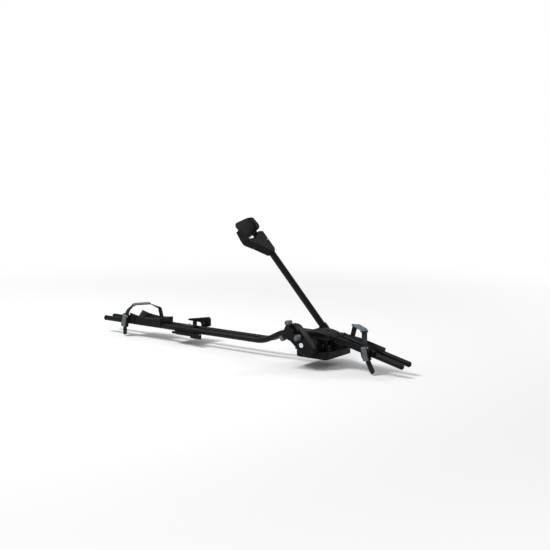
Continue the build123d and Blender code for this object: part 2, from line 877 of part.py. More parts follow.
# Smooth cover over the tubes, split from the house at their centre lines
with BuildPart() as cover:
    with BuildSketch(Plane.XZ.offset(-cover_half_width)):
        with BuildLine():
            Polyline(
                (house_ahead, cover_front_top), (house_ahead, raised_height), (-house_back, raised_height),
                (-house_back, cover_top - cover_round),
            )
            ThreePointArc(
                (-house_back, cover_top - cover_round), (-house_back / 2, cover_top),
                (house_ahead, cover_front_top),
            )
        make_face()
    extrude(amount=2 * cover_half_width)
    long_edges = cover.faces().sort_by(Axis.Z)[-1].edges().filter_by(GeomType.CIRCLE)
    fillet(long_edges, cover_round)
    with BuildSketch(Plane.XY.offset(screw_seat)):
        with Locations(*cover_screw_places):
            Circle(cover_screw_head + seat_gap)
    extrude(amount=cover_top, mode=Mode.SUBTRACT)
    with BuildSketch(Plane.XY.offset(screw_seat)):
        with Locations(*cover_screw_places):
            Circle(cover_screw_radius + bearing_gap)
    extrude(amount=-cover_screw_length, mode=Mode.SUBTRACT)
    add(fixed_room, mode=Mode.SUBTRACT)
finish(cover, "foot_cover")

with BuildPart() as cover_screws:
    with BuildSketch(Plane.XY.offset(screw_seat)):
        with Locations(*cover_screw_places):
            Circle(cover_screw_head)
            RegularPolygon(cover_screw_radius, 6, mode=Mode.SUBTRACT)
    extrude(amount=overrun)
    with BuildSketch(Plane.XY.offset(screw_seat)):
        with Locations(*cover_screw_places):
            Circle(cover_screw_radius)
    extrude(amount=-cover_screw_length)
finish(cover_screws, "foot_cover_screws")

# Rubber pad between the foot and the crossbar
with BuildPart() as foot_pad:
    with BuildSketch():
        with Locations(((foot_ahead - foot_back) / 2, (foot_far - foot_near) / 2)):
            RectangleRounded(
                foot_back + foot_ahead - 2 * pad_inset,
                foot_near + foot_far - 2 * pad_inset,
                foot_round - pad_inset,
            )
        with Locations((0, -bolt_side), (0, bolt_side)):
            Circle(bolt_radius + seat_gap, mode=Mode.SUBTRACT)
    extrude(amount=pad_thickness)
finish(foot_pad, "foot_pad")


def make_slot_bolts(name, places, rise, nut_name, nut_floor):
    """T-headed bolts for a crossbar's slot, and the nuts that pull them up."""
    with BuildPart() as bolts:
        with BuildSketch(Plane.XY.offset(-slot_depth)):
            with Locations(*places):
                RectangleRounded(bolt_head_width, bolt_head, seat_gap)
        extrude(amount=-bolt_head_height)
        with BuildSketch(Plane.XY.offset(-slot_depth)):
            with Locations(*places):
                Circle(bolt_radius)
        extrude(amount=slot_depth + rise)
    finish(bolts, name)
    with BuildPart() as nuts:
        with BuildSketch(Plane.XY.offset(nut_floor)):
            with Locations(*places):
                RegularPolygon(nut_radius, 6)
                Circle(bolt_radius + bearing_gap, mode=Mode.SUBTRACT)
        extrude(amount=nut_height)
    finish(nuts, nut_name)


make_slot_bolts("foot_bolts", [(0, -bolt_side), (0, bolt_side)], bolt_rise, "foot_bolt_nuts", window_floor)

# Flanged bushes that the pivot shaft turns in
for name, mouth, inwards in (("near_bush", -near_boss_end, 1), ("far_bush", far_boss_end, -1)):
    with BuildPart() as bush:
        with BuildSketch(side_plane(mouth)):
            Circle(bush_radius)
            Circle(shaft_radius + bearing_gap, mode=Mode.SUBTRACT)
        extrude(amount=inwards * bush_length)
        with BuildSketch(side_plane(mouth)):
            Circle(bush_flange)
            Circle(shaft_radius + bearing_gap, mode=Mode.SUBTRACT)
        extrude(amount=-inwards * bush_lip)
    finish(bush, name)

# Hollow pivot shaft, with windows for the cable and a flat that keys the lever's frame
with BuildPart() as shaft:
    with BuildSketch(side_plane(-shaft_near)):
        Circle(shaft_radius)
        Circle(shaft_bore, mode=Mode.SUBTRACT)
    extrude(amount=shaft_near + shaft_far)
    for side in (-housing_split, rod_side):
        with BuildSketch(section_plane(0)):
            with Locations((side, 0)):
                Circle(window_radius)
        extrude(amount=shaft_radius + overrun, mode=Mode.SUBTRACT)
    with BuildSketch(side_plane(-frame_near)):
        with Locations((-shaft_radius, 0)):
            Rectangle(2 * key_depth, key_span)
    extrude(amount=frame_thickness, mode=Mode.SUBTRACT)
finish(shaft, "pivot_shaft")

# Socket that joins the arm's tube to the shaft
with BuildPart() as socket:
    with BuildSketch(side_plane(arm_side - socket_width / 2)):
        Circle(socket_eye)
    extrude(amount=socket_width)
    with BuildSketch(section_plane(socket_start)):
        with Locations((arm_side, -arm_level)):
            SlotOverall(arm_depth + 2 * socket_wall, socket_width, rotation=90)
    extrude(amount=socket_end - socket_start)
    chamfer(socket.edges().group_by(Axis(pivot, along))[-1], bush_lip)
    with BuildSketch(side_plane(arm_side - socket_width / 2)):
        Circle(shaft_radius + bearing_gap)
    extrude(amount=socket_width, mode=Mode.SUBTRACT)
    with BuildSketch(section_plane(arm_start)):
        with Locations((arm_side, -arm_level)):
            SlotOverall(arm_depth + 2 * bearing_gap, arm_width + 2 * bearing_gap, rotation=90)
    extrude(amount=socket_end, mode=Mode.SUBTRACT)
    with BuildSketch(section_plane(0)):
        with Locations((rod_side, 0)):
            Circle(window_radius)
    extrude(amount=arm_start + overrun, mode=Mode.SUBTRACT)
    with BuildSketch(palm_plane(arm_level + arm_depth)):
        with Locations((rivet_reach, arm_side)):
            Circle(rivet_radius + bearing_gap)
    extrude(amount=2 * arm_depth, mode=Mode.SUBTRACT)
finish(socket, "arm_socket")

# Oval tube of the arm, drilled for the rivets at its foot
with BuildPart() as arm_tube:
    with BuildSketch(section_plane(arm_start)):
        with Locations((arm_side, -arm_level)):
            SlotOverall(arm_depth, arm_width, rotation=90)
            SlotOverall(arm_depth - 2 * arm_wall, arm_width - 2 * arm_wall, rotation=90, mode=Mode.SUBTRACT)
    extrude(amount=arm_end - arm_start)
    with BuildSketch(palm_plane(arm_level + arm_depth)):
        with Locations((rivet_reach, arm_side)):
            Circle(rivet_radius + bearing_gap)
    extrude(amount=2 * arm_depth, mode=Mode.SUBTRACT)
finish(arm_tube, "arm_tube")

with BuildPart() as rivets:
    for facing in (-1, 1):
        face = palm_plane(arm_level + facing * (arm_depth / 2 + socket_wall))
        with BuildSketch(face):
            with Locations((rivet_reach, arm_side)):
                Circle(rivet_head)
        extrude(amount=-facing * rivet_dome)
        with BuildSketch(face):
            with Locations((rivet_reach, arm_side)):
                Circle(rivet_radius)
        extrude(amount=facing * (socket_wall + arm_wall))
finish(rivets, "arm_rivets")

# Lever housing: two shells that clamp round the shaft's near end and carry the knob and the lock
def about_shaft(shares):
    """A place on the lever housing from its shares of the way to the housing's ends."""
    reach = shares[0] * (housing_nose if shares[0] > 0 else housing_tail)
    level = shares[1] * (housing_top if shares[1] > 0 else housing_belly)
    return (reach, level)


housing_line = [about_shaft(shares) for shares in housing_shares]
housing_rounds = [share * housing_sweep for share in housing_round_shares]
lug_places = [about_shaft(shares) for shares in lug_shares]


def housing_outline(plane, inset):
    """The housing's outline in side view, drawn in by an inset."""
    with BuildSketch(plane) as sketch:
        with BuildLine():
            FilletPolyline(*housing_line, radius=housing_rounds, close=True)
        make_face()
        if inset:
            offset(amount=-inset, mode=Mode.REPLACE)
        else:
            for place in lug_places:
                with Locations(place):
                    Circle(lug_radius)
    return sketch.sketch


for name, face_side, inwards in (("housing_back", -housing_back, -1), ("housing_front", -housing_front, 1)):
    depth = abs(housing_split + face_side)
    with BuildPart() as shell:
        extrude(housing_outline(side_plane(face_side), 0), amount=inwards * depth)
        rim = shell.faces().filter_by(Axis.Y).sort_by(Axis.Y)[-1 if inwards < 0 else 0].edges()
        chamfer(rim, housing_edge)
        extrude(
            housing_outline(side_plane(face_side + inwards * housing_wall), housing_wall),
            amount=inwards * depth, mode=Mode.SUBTRACT,
        )
        with BuildSketch(side_plane(face_side)):
            with Locations(*lug_places):
                Circle(lug_radius - side_gap)
        extrude(amount=inwards * depth)
        with BuildSketch(side_plane(face_side)):
            with Locations(*lug_places):
                Circle(screw_radius + bearing_gap)
        extrude(amount=inwards * depth, mode=Mode.SUBTRACT)
        if inwards < 0:
            with BuildSketch(side_plane(face_side)):
                Circle(shaft_radius + bearing_gap)
            extrude(amount=inwards * depth, mode=Mode.SUBTRACT)
        else:
            with BuildSketch(side_plane(face_side)):
                with Locations((lock_reach, 0)):
                    Circle(lock_radius + bearing_gap)
                with Locations((knob_reach, 0)):
                    Circle(spindle_radius + seat_gap)
            extrude(amount=inwards * depth, mode=Mode.SUBTRACT)
            with BuildSketch(side_plane(face_side)):
                with Locations(*lug_places):
                    Circle(screw_head + seat_gap)
            extrude(amount=inwards * screw_head, mode=Mode.SUBTRACT)
    finish(shell, name)

with BuildPart() as housing_screws:
    with BuildSketch(side_plane(-housing_front + screw_head)):
        with Locations(*lug_places):
            Circle(screw_head)
    extrude(amount=-screw_head + side_gap)
    with BuildSketch(side_plane(-housing_front + screw_head)):
        with Locations(*lug_places):
            Circle(screw_radius)
    extrude(amount=screw_length)
finish(housing_screws, "housing_screws")

# Steel frame inside the housing, keyed to the shaft, that carries the knob's spindle
with BuildPart() as lever_frame:
    with BuildSketch(side_plane(-frame_near)):
        with Locations((knob_reach / 2, 0)):
            SlotCenterToCenter(knob_reach, frame_width + 2 * key_depth)
        with Locations((knob_reach / 2 - key_depth, 0)):
            window_length = knob_reach - 2 * shaft_radius - 2 * spindle_radius
            RectangleRounded(window_length, key_span, key_depth, mode=Mode.SUBTRACT)
        Circle(shaft_radius + bearing_gap, mode=Mode.SUBTRACT)
        with Locations((-shaft_radius - key_depth / 2 - bearing_gap, 0)):
            Rectangle(3 * key_depth, key_span - 2 * bearing_gap)
        with Locations((knob_reach, 0)):
            Circle(spindle_radius + bearing_gap, mode=Mode.SUBTRACT)
    extrude(amount=frame_thickness)
finish(lever_frame, "lever_frame")

# Lock in the housing's face: a barrel, and the plug with its keyway and cam
with BuildPart() as lock_barrel:
    with BuildSketch(side_plane(-housing_front - lock_stand)):
        with Locations((lock_reach, 0)):
            Circle(lock_radius)
            Circle(plug_radius + bearing_gap, mode=Mode.SUBTRACT)
    extrude(amount=plug_length + lock_stand)
finish(lock_barrel, "lock_barrel")

with BuildPart() as lock_plug:
    with BuildSketch(side_plane(-housing_front - lock_stand)):
        with Locations((lock_reach, 0)):
            Circle(plug_radius)
    extrude(amount=plug_length + lock_stand + side_gap)
    with BuildSketch(side_plane(-housing_front - lock_stand)):
        with Locations((lock_reach, 0)):
            Rectangle(key_length, key_width)
    extrude(amount=plug_length / 2, mode=Mode.SUBTRACT)
    with BuildSketch(side_plane(-housing_front + plug_length + side_gap)):
        with Locations((lock_reach + cam_length / 2, 0)):
            SlotCenterToCenter(cam_length, cam_width)
    extrude(amount=cam_thickness)
finish(lock_plug, "lock_plug")

# Torque knob: body with three lobes, soft grips on their tips, cap, and the drum and clutch behind it
lobe_angles = [knob_turn + 360 / lobes * lobe for lobe in range(lobes)]


def lobe_sketch(plane, start, end, width):
    """Three lobes between two radii, in side view about the knob's axis."""
    with BuildSketch(plane) as sketch:
        for angle in lobe_angles:
            outward = Vector(cos(radians(angle)), sin(radians(angle)))
            with Locations(Location((knob_reach, 0, 0)) * Location(outward * ((start + end) / 2), angle)):
                RectangleRounded(end - start, width, width / 4)
    return sketch.sketch


with BuildPart() as knob:
    knob_face = -housing_front - knob_gap
    with BuildSketch(side_plane(knob_face)):
        with Locations((knob_reach, 0)):
            Circle(collar_radius)
    extrude(amount=-collar_height)
    with BuildSketch(side_plane(knob_face)):
        with Locations((knob_reach, 0)):
            Circle(knob_hub)
    extrude(amount=-knob_height)
    lobe_floor = side_plane(knob_face - lobe_start)
    extrude(lobe_sketch(lobe_floor, 0, lobe_reach - grip_wrap, lobe_width - 2 * grip_wrap),
            amount=-knob_height + lobe_start + grip_wrap)
    chamfer(knob.faces().sort_by(Axis.Y)[0].edges(), grip_wrap / 2)
    with BuildSketch(side_plane(knob_face)):
        with Locations((knob_reach, 0)):
            Circle(spindle_radius)
    extrude(amount=knob_gap + housing_front - frame_near + frame_thickness)
    with BuildSketch(side_plane(knob_face - knob_height)):
        with Locations((knob_reach, 0)):
            Circle(cap_radius + bearing_gap)
    extrude(amount=cap_height, mode=Mode.SUBTRACT)
finish(knob, "knob_body")

with BuildPart() as knob_cap:
    with BuildSketch(side_plane(knob_face - knob_height + cap_height)):
        with Locations((knob_reach, 0)):
            Circle(cap_radius)
    extrude(amount=-cap_height - grip_wrap / 2)
    chamfer(knob_cap.edges().group_by(Axis.Y)[0], grip_wrap / 2)
finish(knob_cap, "knob_cap")

with BuildPart() as knob_grips:
    grip_floor = side_plane(knob_face - lobe_start + grip_wrap)
    grip_depth = knob_height - lobe_start + 2 * grip_wrap
    extrude(lobe_sketch(grip_floor, grip_start, lobe_reach, lobe_width), amount=-grip_depth)
    chamfer(knob_grips.faces().sort_by(Axis.Y)[:lobes].edges(), grip_wrap)
    add(knob.part, mode=Mode.SUBTRACT)
finish(knob_grips, "knob_grips")

for name, near, outer, length in (
    ("cable_drum", drum_near, drum_radius, drum_length),
    ("clutch_plate", housing_front - housing_wall - side_gap, clutch_radius, clutch_thickness),
):
    with BuildPart() as disc:
        with BuildSketch(side_plane(-near)):
            with Locations((knob_reach, 0)):
                Circle(outer)
                Circle(spindle_radius + bearing_gap, mode=Mode.SUBTRACT)
        extrude(amount=length)
        if name == "cable_drum":
            with BuildSketch(section_plane(knob_reach + drum_radius)):
                with Locations((-near + drum_length / 2, 0)):
                    Circle(cable_radius)
            revolve(axis=Axis(pivot + along * knob_reach, sideways), mode=Mode.SUBTRACT)
    finish(disc, name)

# Clamp head: a forked body on the arm's tube, with the cradle for the frame and the slot for the claw
with BuildPart() as head:
    with BuildSketch(palm_plane(head_high)):
        with BuildLine():
            FilletPolyline(
                (head_start, head_neck_near), (head_start, head_neck_far), (head_shoulder, head_far),
                (head_tip - head_round, head_far), (head_tip, head_far - throat_half_width),
                (head_tip, head_far - 2 * throat_half_width), (throat_edge_reach, throat_edge),
                (throat_floor, throat_half_width), (throat_floor, -finger_side), (finger_tip, -finger_side),
                (finger_tip, -finger_side - finger_thickness), (heel_reach, -finger_side - finger_thickness),
                (belly_reach, 0),
                radius=[share * head_sweep for share in head_round_shares], close=True,
            )
        make_face()
    extrude(amount=head_high + head_low)
    chamfer(head.faces().filter_by(Axis(pivot, across)).edges(), head_edge)
    # The near finger narrows towards its tip
    for facing, level in ((1, head_high), (-1, -head_low)):
        with BuildSketch(side_plane(-finger_side)):
            with BuildLine():
                Polyline(
                    (throat_floor, level), (finger_tip + overrun, level - facing * head_round * 3),
                    (finger_tip + overrun, level + facing * overrun),
                    (throat_floor, level + facing * overrun), close=True,
                )
            make_face()
        extrude(amount=-finger_thickness - overrun, mode=Mode.SUBTRACT)
    # Socket of the tube, passage of the rod, and the fork that holds the claw
    with BuildSketch(section_plane(head_start)):
        with Locations((arm_side, -arm_level)):
            SlotOverall(arm_depth + 2 * bearing_gap, arm_width + 2 * bearing_gap, rotation=90)
    extrude(amount=arm_end - head_start, mode=Mode.SUBTRACT)
    with BuildSketch(section_plane(arm_end - overrun)):
        with Locations((rod_side, -arm_level)):
            Circle(rod_radius + side_gap)
    extrude(amount=2 * overrun + pocket_start - arm_end, mode=Mode.SUBTRACT)
    with BuildSketch(palm_plane(arm_level + pocket_half)):
        with BuildLine():
            Polyline(
                (pocket_start, head_far + overrun), (pocket_start, pocket_side),
                (claw_pin_reach, pocket_side),
                (throat_edge_reach - overrun, throat_half_width), (head_tip + overrun, throat_half_width),
                (head_tip + overrun, head_far + overrun), close=True,
            )
        make_face()
    extrude(amount=2 * pocket_half, mode=Mode.SUBTRACT)
    with BuildSketch(palm_plane(head_high + overrun)):
        with Locations((claw_pin_reach, claw_pin_side)):
            Circle(claw_pin_radius + bearing_gap)
    extrude(amount=head_high + head_low + 2 * overrun, mode=Mode.SUBTRACT)
finish(head, "head_body")

# Toothed rubber pad in the cradle
with BuildPart() as cradle:
    with BuildSketch(palm_plane(cradle_half)):
        with BuildLine():
            Polyline(
                (throat_floor, throat_half_width), (throat_floor, -finger_side),
                (finger_tip - overrun, -finger_side), (finger_tip - overrun, cradle_pad - finger_side),
                (throat_floor + cradle_pad, cradle_pad - finger_side),
                (throat_floor + cradle_pad, throat_half_width), close=True,
            )
        make_face()
    extrude(amount=2 * cradle_half)
    teeth = int((finger_tip - throat_floor - 2 * cradle_pad) / tooth_pitch)
    for index in range(teeth):
        with BuildSketch(palm_plane(cradle_half)):
            with Locations((throat_floor + 2 * cradle_pad + tooth_pitch * index, cradle_pad - finger_side)):
                Circle(tooth_depth)
        extrude(amount=2 * cradle_half, mode=Mode.SUBTRACT)
    add(head.part, mode=Mode.SUBTRACT)
finish(cradle, "cradle_pad")

with BuildPart() as claw_pin:
    with BuildSketch(palm_plane(head_high + side_gap)):
        with Locations((claw_pin_reach, claw_pin_side)):
            Circle(claw_pin_radius)
    extrude(amount=head_high + head_low + 2 * side_gap)
    chamfer(claw_pin.edges().filter_by(GeomType.CIRCLE), side_gap)
finish(claw_pin, "claw_pin")

# Claw: a broad hooked paddle on a neck, with a forked tail that the rod pulls
paddle_middle = (paddle_start + paddle_end) / 2
inner_middle = (paddle_middle, (paddle_root_inner + paddle_tip_inner) / 2 - claw_pad)
outer_middle = (paddle_middle, (paddle_root_outer + paddle_tip_outer) / 2 + claw_pad)
tail_side = claw_pin_side - tail_length
with BuildPart() as claw:
    with BuildSketch(palm_plane(paddle_high)):
        with BuildLine():
            ThreePointArc((paddle_start, paddle_root_outer), outer_middle, (paddle_end, paddle_tip_outer))
            Line((paddle_end, paddle_tip_outer), (paddle_end, paddle_tip_inner))
            ThreePointArc((paddle_end, paddle_tip_inner), inner_middle, (paddle_start, paddle_root_inner))
            Line((paddle_start, paddle_root_inner), (paddle_start, paddle_root_outer))
        make_face()
    extrude(amount=paddle_high + paddle_low)
    with BuildSketch(side_plane(0)):
        with BuildLine():
            FilletPolyline(
                (paddle_start + seat_gap, -paddle_low), (paddle_start + seat_gap, paddle_high),
                (paddle_end - paddle_cut, paddle_high), (paddle_end - seat_gap, -paddle_low),
                radius=paddle_round, close=True,
            )
        make_face()
    extrude(amount=paddle_root_outer + head_far, mode=Mode.INTERSECT)
    with BuildSketch(palm_plane(arm_level + claw_half)):
        with BuildLine():
            FilletPolyline(
                (claw_pin_reach - tail_radius, head_far - seat_gap),
                (claw_pin_reach + tail_radius, head_far - seat_gap),
                (paddle_start + head_far - claw_pin_side, paddle_root_outer - head_round),
                (paddle_start + head_far - claw_pin_side, paddle_root_inner + claw_pad / 2),
                (claw_pin_reach + tail_length, tail_side - tail_radius / 2),
                (claw_pin_reach + tail_radius, tail_side - tail_radius),
                (claw_pin_reach - tail_radius, tail_side - tail_radius),
                radius=head_round, close=True,
            )
        make_face()
    extrude(amount=2 * claw_half)
    with BuildSketch(palm_plane(arm_level + tail_gap)):
        with Locations((claw_pin_reach, claw_pin_side - claw_pin_radius - seat_gap - tail_length)):
            Rectangle(4 * tail_length, 2 * tail_length)
    extrude(amount=2 * tail_gap, mode=Mode.SUBTRACT)
    with BuildSketch(palm_plane(head_high)):
        with Locations((claw_pin_reach, claw_pin_side)):
            Circle(claw_pin_radius + bearing_gap)
        with Locations((claw_pin_reach, tail_side)):
            Circle(tail_pin_radius + bearing_gap)
    extrude(amount=head_high + head_low, mode=Mode.SUBTRACT)
finish(claw, "claw_body")

# Soft pad on the claw's inner face
with BuildPart() as claw_pad_part:
    with BuildSketch(palm_plane(paddle_high)):
        with BuildLine():
            ThreePointArc((paddle_end, paddle_tip_inner), inner_middle, (paddle_start, paddle_root_inner))
            Line((paddle_start, paddle_root_inner), (paddle_start, paddle_root_inner - claw_pad))
            ThreePointArc(
                (paddle_start, paddle_root_inner - claw_pad), (inner_middle[0], inner_middle[1] - claw_pad),
                (paddle_end, paddle_tip_inner - claw_pad),
            )
            Line((paddle_end, paddle_tip_inner - claw_pad), (paddle_end, paddle_tip_inner))
        make_face()
    extrude(amount=paddle_high + paddle_low)
    with BuildSketch(side_plane(0)):
        with BuildLine():
            FilletPolyline(
                (paddle_start + claw_pad_margin, claw_pad_margin - paddle_low),
                (paddle_start + claw_pad_margin, paddle_high - claw_pad_margin),
                (paddle_end - paddle_cut - claw_pad_margin / 2, paddle_high - claw_pad_margin),
                (paddle_end - claw_pad_margin, claw_pad_margin - paddle_low),
                radius=paddle_round - claw_pad_margin / 2, close=True,
            )
        make_face()
    extrude(amount=paddle_root_outer, mode=Mode.INTERSECT)
finish(claw_pad_part, "claw_pad")

with BuildPart() as tail_pin:
    with BuildSketch(palm_plane(arm_level + claw_half)):
        with Locations((claw_pin_reach, tail_side)):
            Circle(tail_pin_radius)
    extrude(amount=2 * claw_half)
finish(tail_pin, "claw_tail_pin")

# Rod in the arm that pulls the claw's tail, with a fork at its head and a ferrule bore at its foot
rod_place = (rod_side, -arm_level)
with BuildPart() as rod:
    with BuildSketch(section_plane(rod_start)):
        with Locations(rod_place):
            Circle(rod_radius)
    extrude(amount=claw_pin_reach - fork_half_length + seat_gap - rod_start)
    with BuildSketch(palm_plane(arm_level + fork_thickness / 2)):
        with Locations((claw_pin_reach, tail_side + (fork_high - fork_low) / 2)):
            RectangleRounded(2 * fork_half_length, fork_high + fork_low, fork_play)
        with Locations((claw_pin_reach, tail_side + fork_high)):
            slot_height = 2 * (fork_high + tail_pin_radius + seat_gap)
            Rectangle(2 * (tail_pin_radius + fork_play), slot_height, mode=Mode.SUBTRACT)
    extrude(amount=fork_thickness)
    with BuildSketch(section_plane(rod_start)):
        with Locations(rod_place):
            Circle(cable_radius + side_gap)
    extrude(amount=ferrule_depth, mode=Mode.SUBTRACT)
finish(rod, "pull_rod")

# Plastic guide that centres the rod in the arm's tube
with BuildPart() as rod_guide:
    with BuildSketch(section_plane(arm_end - ferrule_depth)):
        with Locations((arm_side, -arm_level)):
            guide_trim = 2 * arm_wall + 2 * bearing_gap
            SlotOverall(arm_depth - guide_trim, arm_width - guide_trim, rotation=90)
        with Locations(rod_place):
            Circle(rod_radius + seat_gap, mode=Mode.SUBTRACT)
    extrude(amount=ferrule_depth)
finish(rod_guide, "rod_guide")

# Cable from the rod through the shaft to the drum
drum_way = along * cos(radians(drum_angle)) + across * sin(radians(drum_angle))
cable_points = [
    pivot + along * (rod_start + cable_overlap) + sideways * rod_side + across * arm_level,
    pivot + sideways * rod_side,
    pivot - sideways * housing_split,
    pivot - sideways * housing_split + drum_way * cable_reach,
]
with BuildPart() as cable:
    with BuildLine() as cable_line:
        FilletPolyline(*cable_points, radius=cable_bend)
    cable_path = cable_line.line
    with BuildSketch(Plane(origin=cable_path @ 0, z_dir=cable_path % 0)):
        Circle(cable_radius)
    sweep(path=cable_path)
finish(cable, "pull_cable")

# Rear foot: a saddle under the tubes with a hinge lug on its far side and an ear on its near side
rear_place = Plane(origin=(-rear_foot_reach, 0, 0), x_dir=(1, 0, 0), z_dir=(0, 0, 1))
cam_pivot = Vector(-cam_pivot_reach, 0, cam_pivot_height)
bar_pivot = Vector(-bar_pivot_reach, -bar_pivot_side, 0)
with BuildPart() as saddle:
    with BuildSketch(Plane.YZ.offset(-rear_foot_reach - saddle_back)):
        with BuildLine():
            FilletPolyline(
                (-saddle_near, saddle_base), (-saddle_near, low_height), (saddle_near + seat_gap, low_height),
                (saddle_near + saddle_base, saddle_shelf), (saddle_far, saddle_shelf),
                (saddle_far, saddle_base),
                radius=[saddle_edge, seat_gap, seat_gap, saddle_edge, seat_gap, seat_gap], close=True,
            )
        make_face()
    extrude(amount=saddle_back + saddle_ahead)
    fillet(saddle.edges().filter_by(Axis.Z), saddle_round)
    lug_face = cam_side - cam_width / 2 - side_gap
    with BuildSketch(Plane(origin=(0, lug_face, 0), x_dir=(1, 0, 0), z_dir=-sideways)):
        with Locations((-cam_pivot_reach, cam_pivot_height)):
            Circle(lug_eye)
        with BuildLine():
            Polyline(
                (-cam_pivot_reach - lug_eye, cam_pivot_height),
                (-cam_pivot_reach + lug_eye, cam_pivot_height),
                (-rear_foot_reach + saddle_ahead, saddle_base), (-cam_pivot_reach - 2 * lug_eye, saddle_base),
                close=True,
            )
        make_face()
    extrude(amount=lug_thickness)
    with BuildSketch(Plane.XY.offset(ear_base)):
        with BuildLine():
            Polyline(
                (-rear_foot_reach + saddle_ahead - saddle_round, -saddle_near + saddle_round),
                (-rear_foot_reach + saddle_ahead - saddle_round, -bar_pivot_side - ear_radius),
                (-bar_pivot_reach, -bar_pivot_side - ear_radius),
                (-bar_pivot_reach, -bar_pivot_side + ear_radius),
                (-rear_foot_reach + saddle_ahead + saddle_round, -saddle_near + saddle_round), close=True,
            )
        make_face()
        with Locations((-bar_pivot_reach, -bar_pivot_side)):
            Circle(ear_radius)
    extrude(amount=bar_floor - side_gap - ear_base)
    with BuildSketch(Plane.XY.offset(saddle_shelf - saddle_base)):
        with Locations((-post_reach, cam_side)):
            RectangleRounded(post_width, cam_width - 2 * side_gap, saddle_edge)
    extrude(amount=post_top - saddle_shelf + saddle_base)
    with BuildSketch(Plane(origin=cam_pivot, x_dir=(1, 0, 0), z_dir=sideways)):
        Circle(hinge_radius + bearing_gap)
    extrude(amount=saddle_far, mode=Mode.SUBTRACT)
    with BuildSketch(Plane(origin=bar_pivot, x_dir=(1, 0, 0), z_dir=(0, 0, 1))):
        Circle(hinge_radius + bearing_gap)
    extrude(amount=bar_floor, both=True, mode=Mode.SUBTRACT)
    with BuildSketch(rear_place):
        Circle(bolt_radius + seat_gap)
    extrude(amount=low_height, mode=Mode.SUBTRACT)
    add(sliding_room, mode=Mode.SUBTRACT)
finish(saddle, "rear_foot_saddle")

with BuildPart() as keeper:
    with BuildSketch(Plane.YZ.offset(-rear_foot_reach - keeper_length / 2)):
        with Locations((0, low_height + seat_gap + keeper_height / 2)):
            RectangleRounded(tube_spacing - keeper_trim, keeper_height, saddle_edge)
    extrude(amount=keeper_length)
    with BuildSketch(rear_place):
        Circle(bolt_radius + seat_gap)
    extrude(amount=low_height + keeper_height + overrun, mode=Mode.SUBTRACT)
    add(sliding_room, mode=Mode.SUBTRACT)
finish(keeper, "rear_foot_keeper")

with BuildPart() as rear_pad:
    with BuildSketch(rear_place):
        with Locations(((saddle_ahead - saddle_back) / 2 - saddle_round, (saddle_far - saddle_near) / 2)):
            RectangleRounded(
                saddle_back + saddle_ahead - 4 * saddle_round,
                saddle_far + saddle_near - 2 * saddle_round,
                saddle_edge,
            )
        Circle(bolt_radius + seat_gap, mode=Mode.SUBTRACT)
    extrude(amount=saddle_base)
finish(rear_pad, "rear_foot_pad")

keeper_top = low_height + seat_gap + keeper_height
rear_bolt_rise = keeper_top + nut_height + bolt_radius / 2
make_slot_bolts("rear_foot_bolt", [(-rear_foot_reach, 0)], rear_bolt_rise, "rear_foot_nut", keeper_top)

# Far lever of the rear foot: a long arched handle that swings up about its pin
cam_plane = Plane(origin=(0, cam_side + cam_width / 2, 0), x_dir=(1, 0, 0), z_dir=-sideways)
with BuildPart() as cam_lever:
    with BuildSketch(cam_plane):
        with BuildLine():
            FilletPolyline(
                (-cam_tip_reach, cam_tip_height - cam_tip_thickness / 2),
                (-cam_tip_reach, cam_tip_height + cam_tip_thickness / 2),
                (-cam_front - cam_shoulder, cam_top), (-cam_front, cam_top - cam_shoulder),
                (-cam_front, cam_low), (-arch_front_reach, cam_low), (-arch_front_reach, arch_top),
                (-arch_rear_reach, arch_top),
                radius=[share * cam_sweep for share in cam_round_shares], close=True,
            )
        make_face()
    extrude(amount=cam_width)
    chamfer(cam_lever.faces().filter_by(Axis.Y).edges(), cam_edge)
    with BuildSketch(Plane(origin=cam_pivot, x_dir=(1, 0, 0), z_dir=sideways)):
        Circle(hinge_radius + 2 * bearing_gap)
    extrude(amount=cam_side + cam_width, mode=Mode.SUBTRACT)
finish(cam_lever, "rear_cam_lever")

with BuildPart() as cam_pin:
    cam_pin_end = cam_pivot + sideways * (cam_side + cam_width / 2 + side_gap)
    with BuildSketch(Plane(origin=cam_pin_end, x_dir=(1, 0, 0), z_dir=-sideways)):
        Circle(hinge_radius)
    extrude(amount=cam_width + 2 * side_gap + lug_thickness)
    chamfer(cam_pin.edges().filter_by(GeomType.CIRCLE), side_gap)
finish(cam_pin, "rear_cam_pin")

# Near lever of the rear foot: a low bar that swings outwards about an upright pin
with BuildPart() as bar_lever:
    with BuildSketch(Plane.XY.offset(bar_floor)):
        with BuildLine():
            eye_top = CenterArc((-bar_pivot_reach, -bar_pivot_side), ear_radius, bar_eye_start, bar_eye_turn)
            Polyline(
                eye_top @ 1, (-bar_pivot_reach - ear_radius - bar_sweep_run, bar_inner),
                (-bar_tip_reach, bar_inner),
                (-bar_tip_reach, bar_outer), (-rear_foot_reach, bar_outer - hinge_radius / 2), eye_top @ 0,
            )
        make_face()
        fillet(vertices().group_by(Axis.X)[0], bar_tip_round)
    extrude(amount=bar_height)
    with BuildSketch(Plane(origin=bar_pivot, x_dir=(1, 0, 0), z_dir=(0, 0, 1))):
        Circle(hinge_radius + 2 * bearing_gap)
    extrude(amount=bar_floor + bar_height, mode=Mode.SUBTRACT)
finish(bar_lever, "rear_bar_lever")

with BuildPart() as bar_pin:
    with BuildSketch(Plane(origin=bar_pivot + Vector(0, 0, ear_base), x_dir=(1, 0, 0), z_dir=(0, 0, 1))):
        Circle(hinge_radius)
    extrude(amount=bar_floor + bar_height + side_gap - ear_base)
    chamfer(bar_pin.edges().filter_by(GeomType.CIRCLE), side_gap)
finish(bar_pin, "rear_bar_pin")
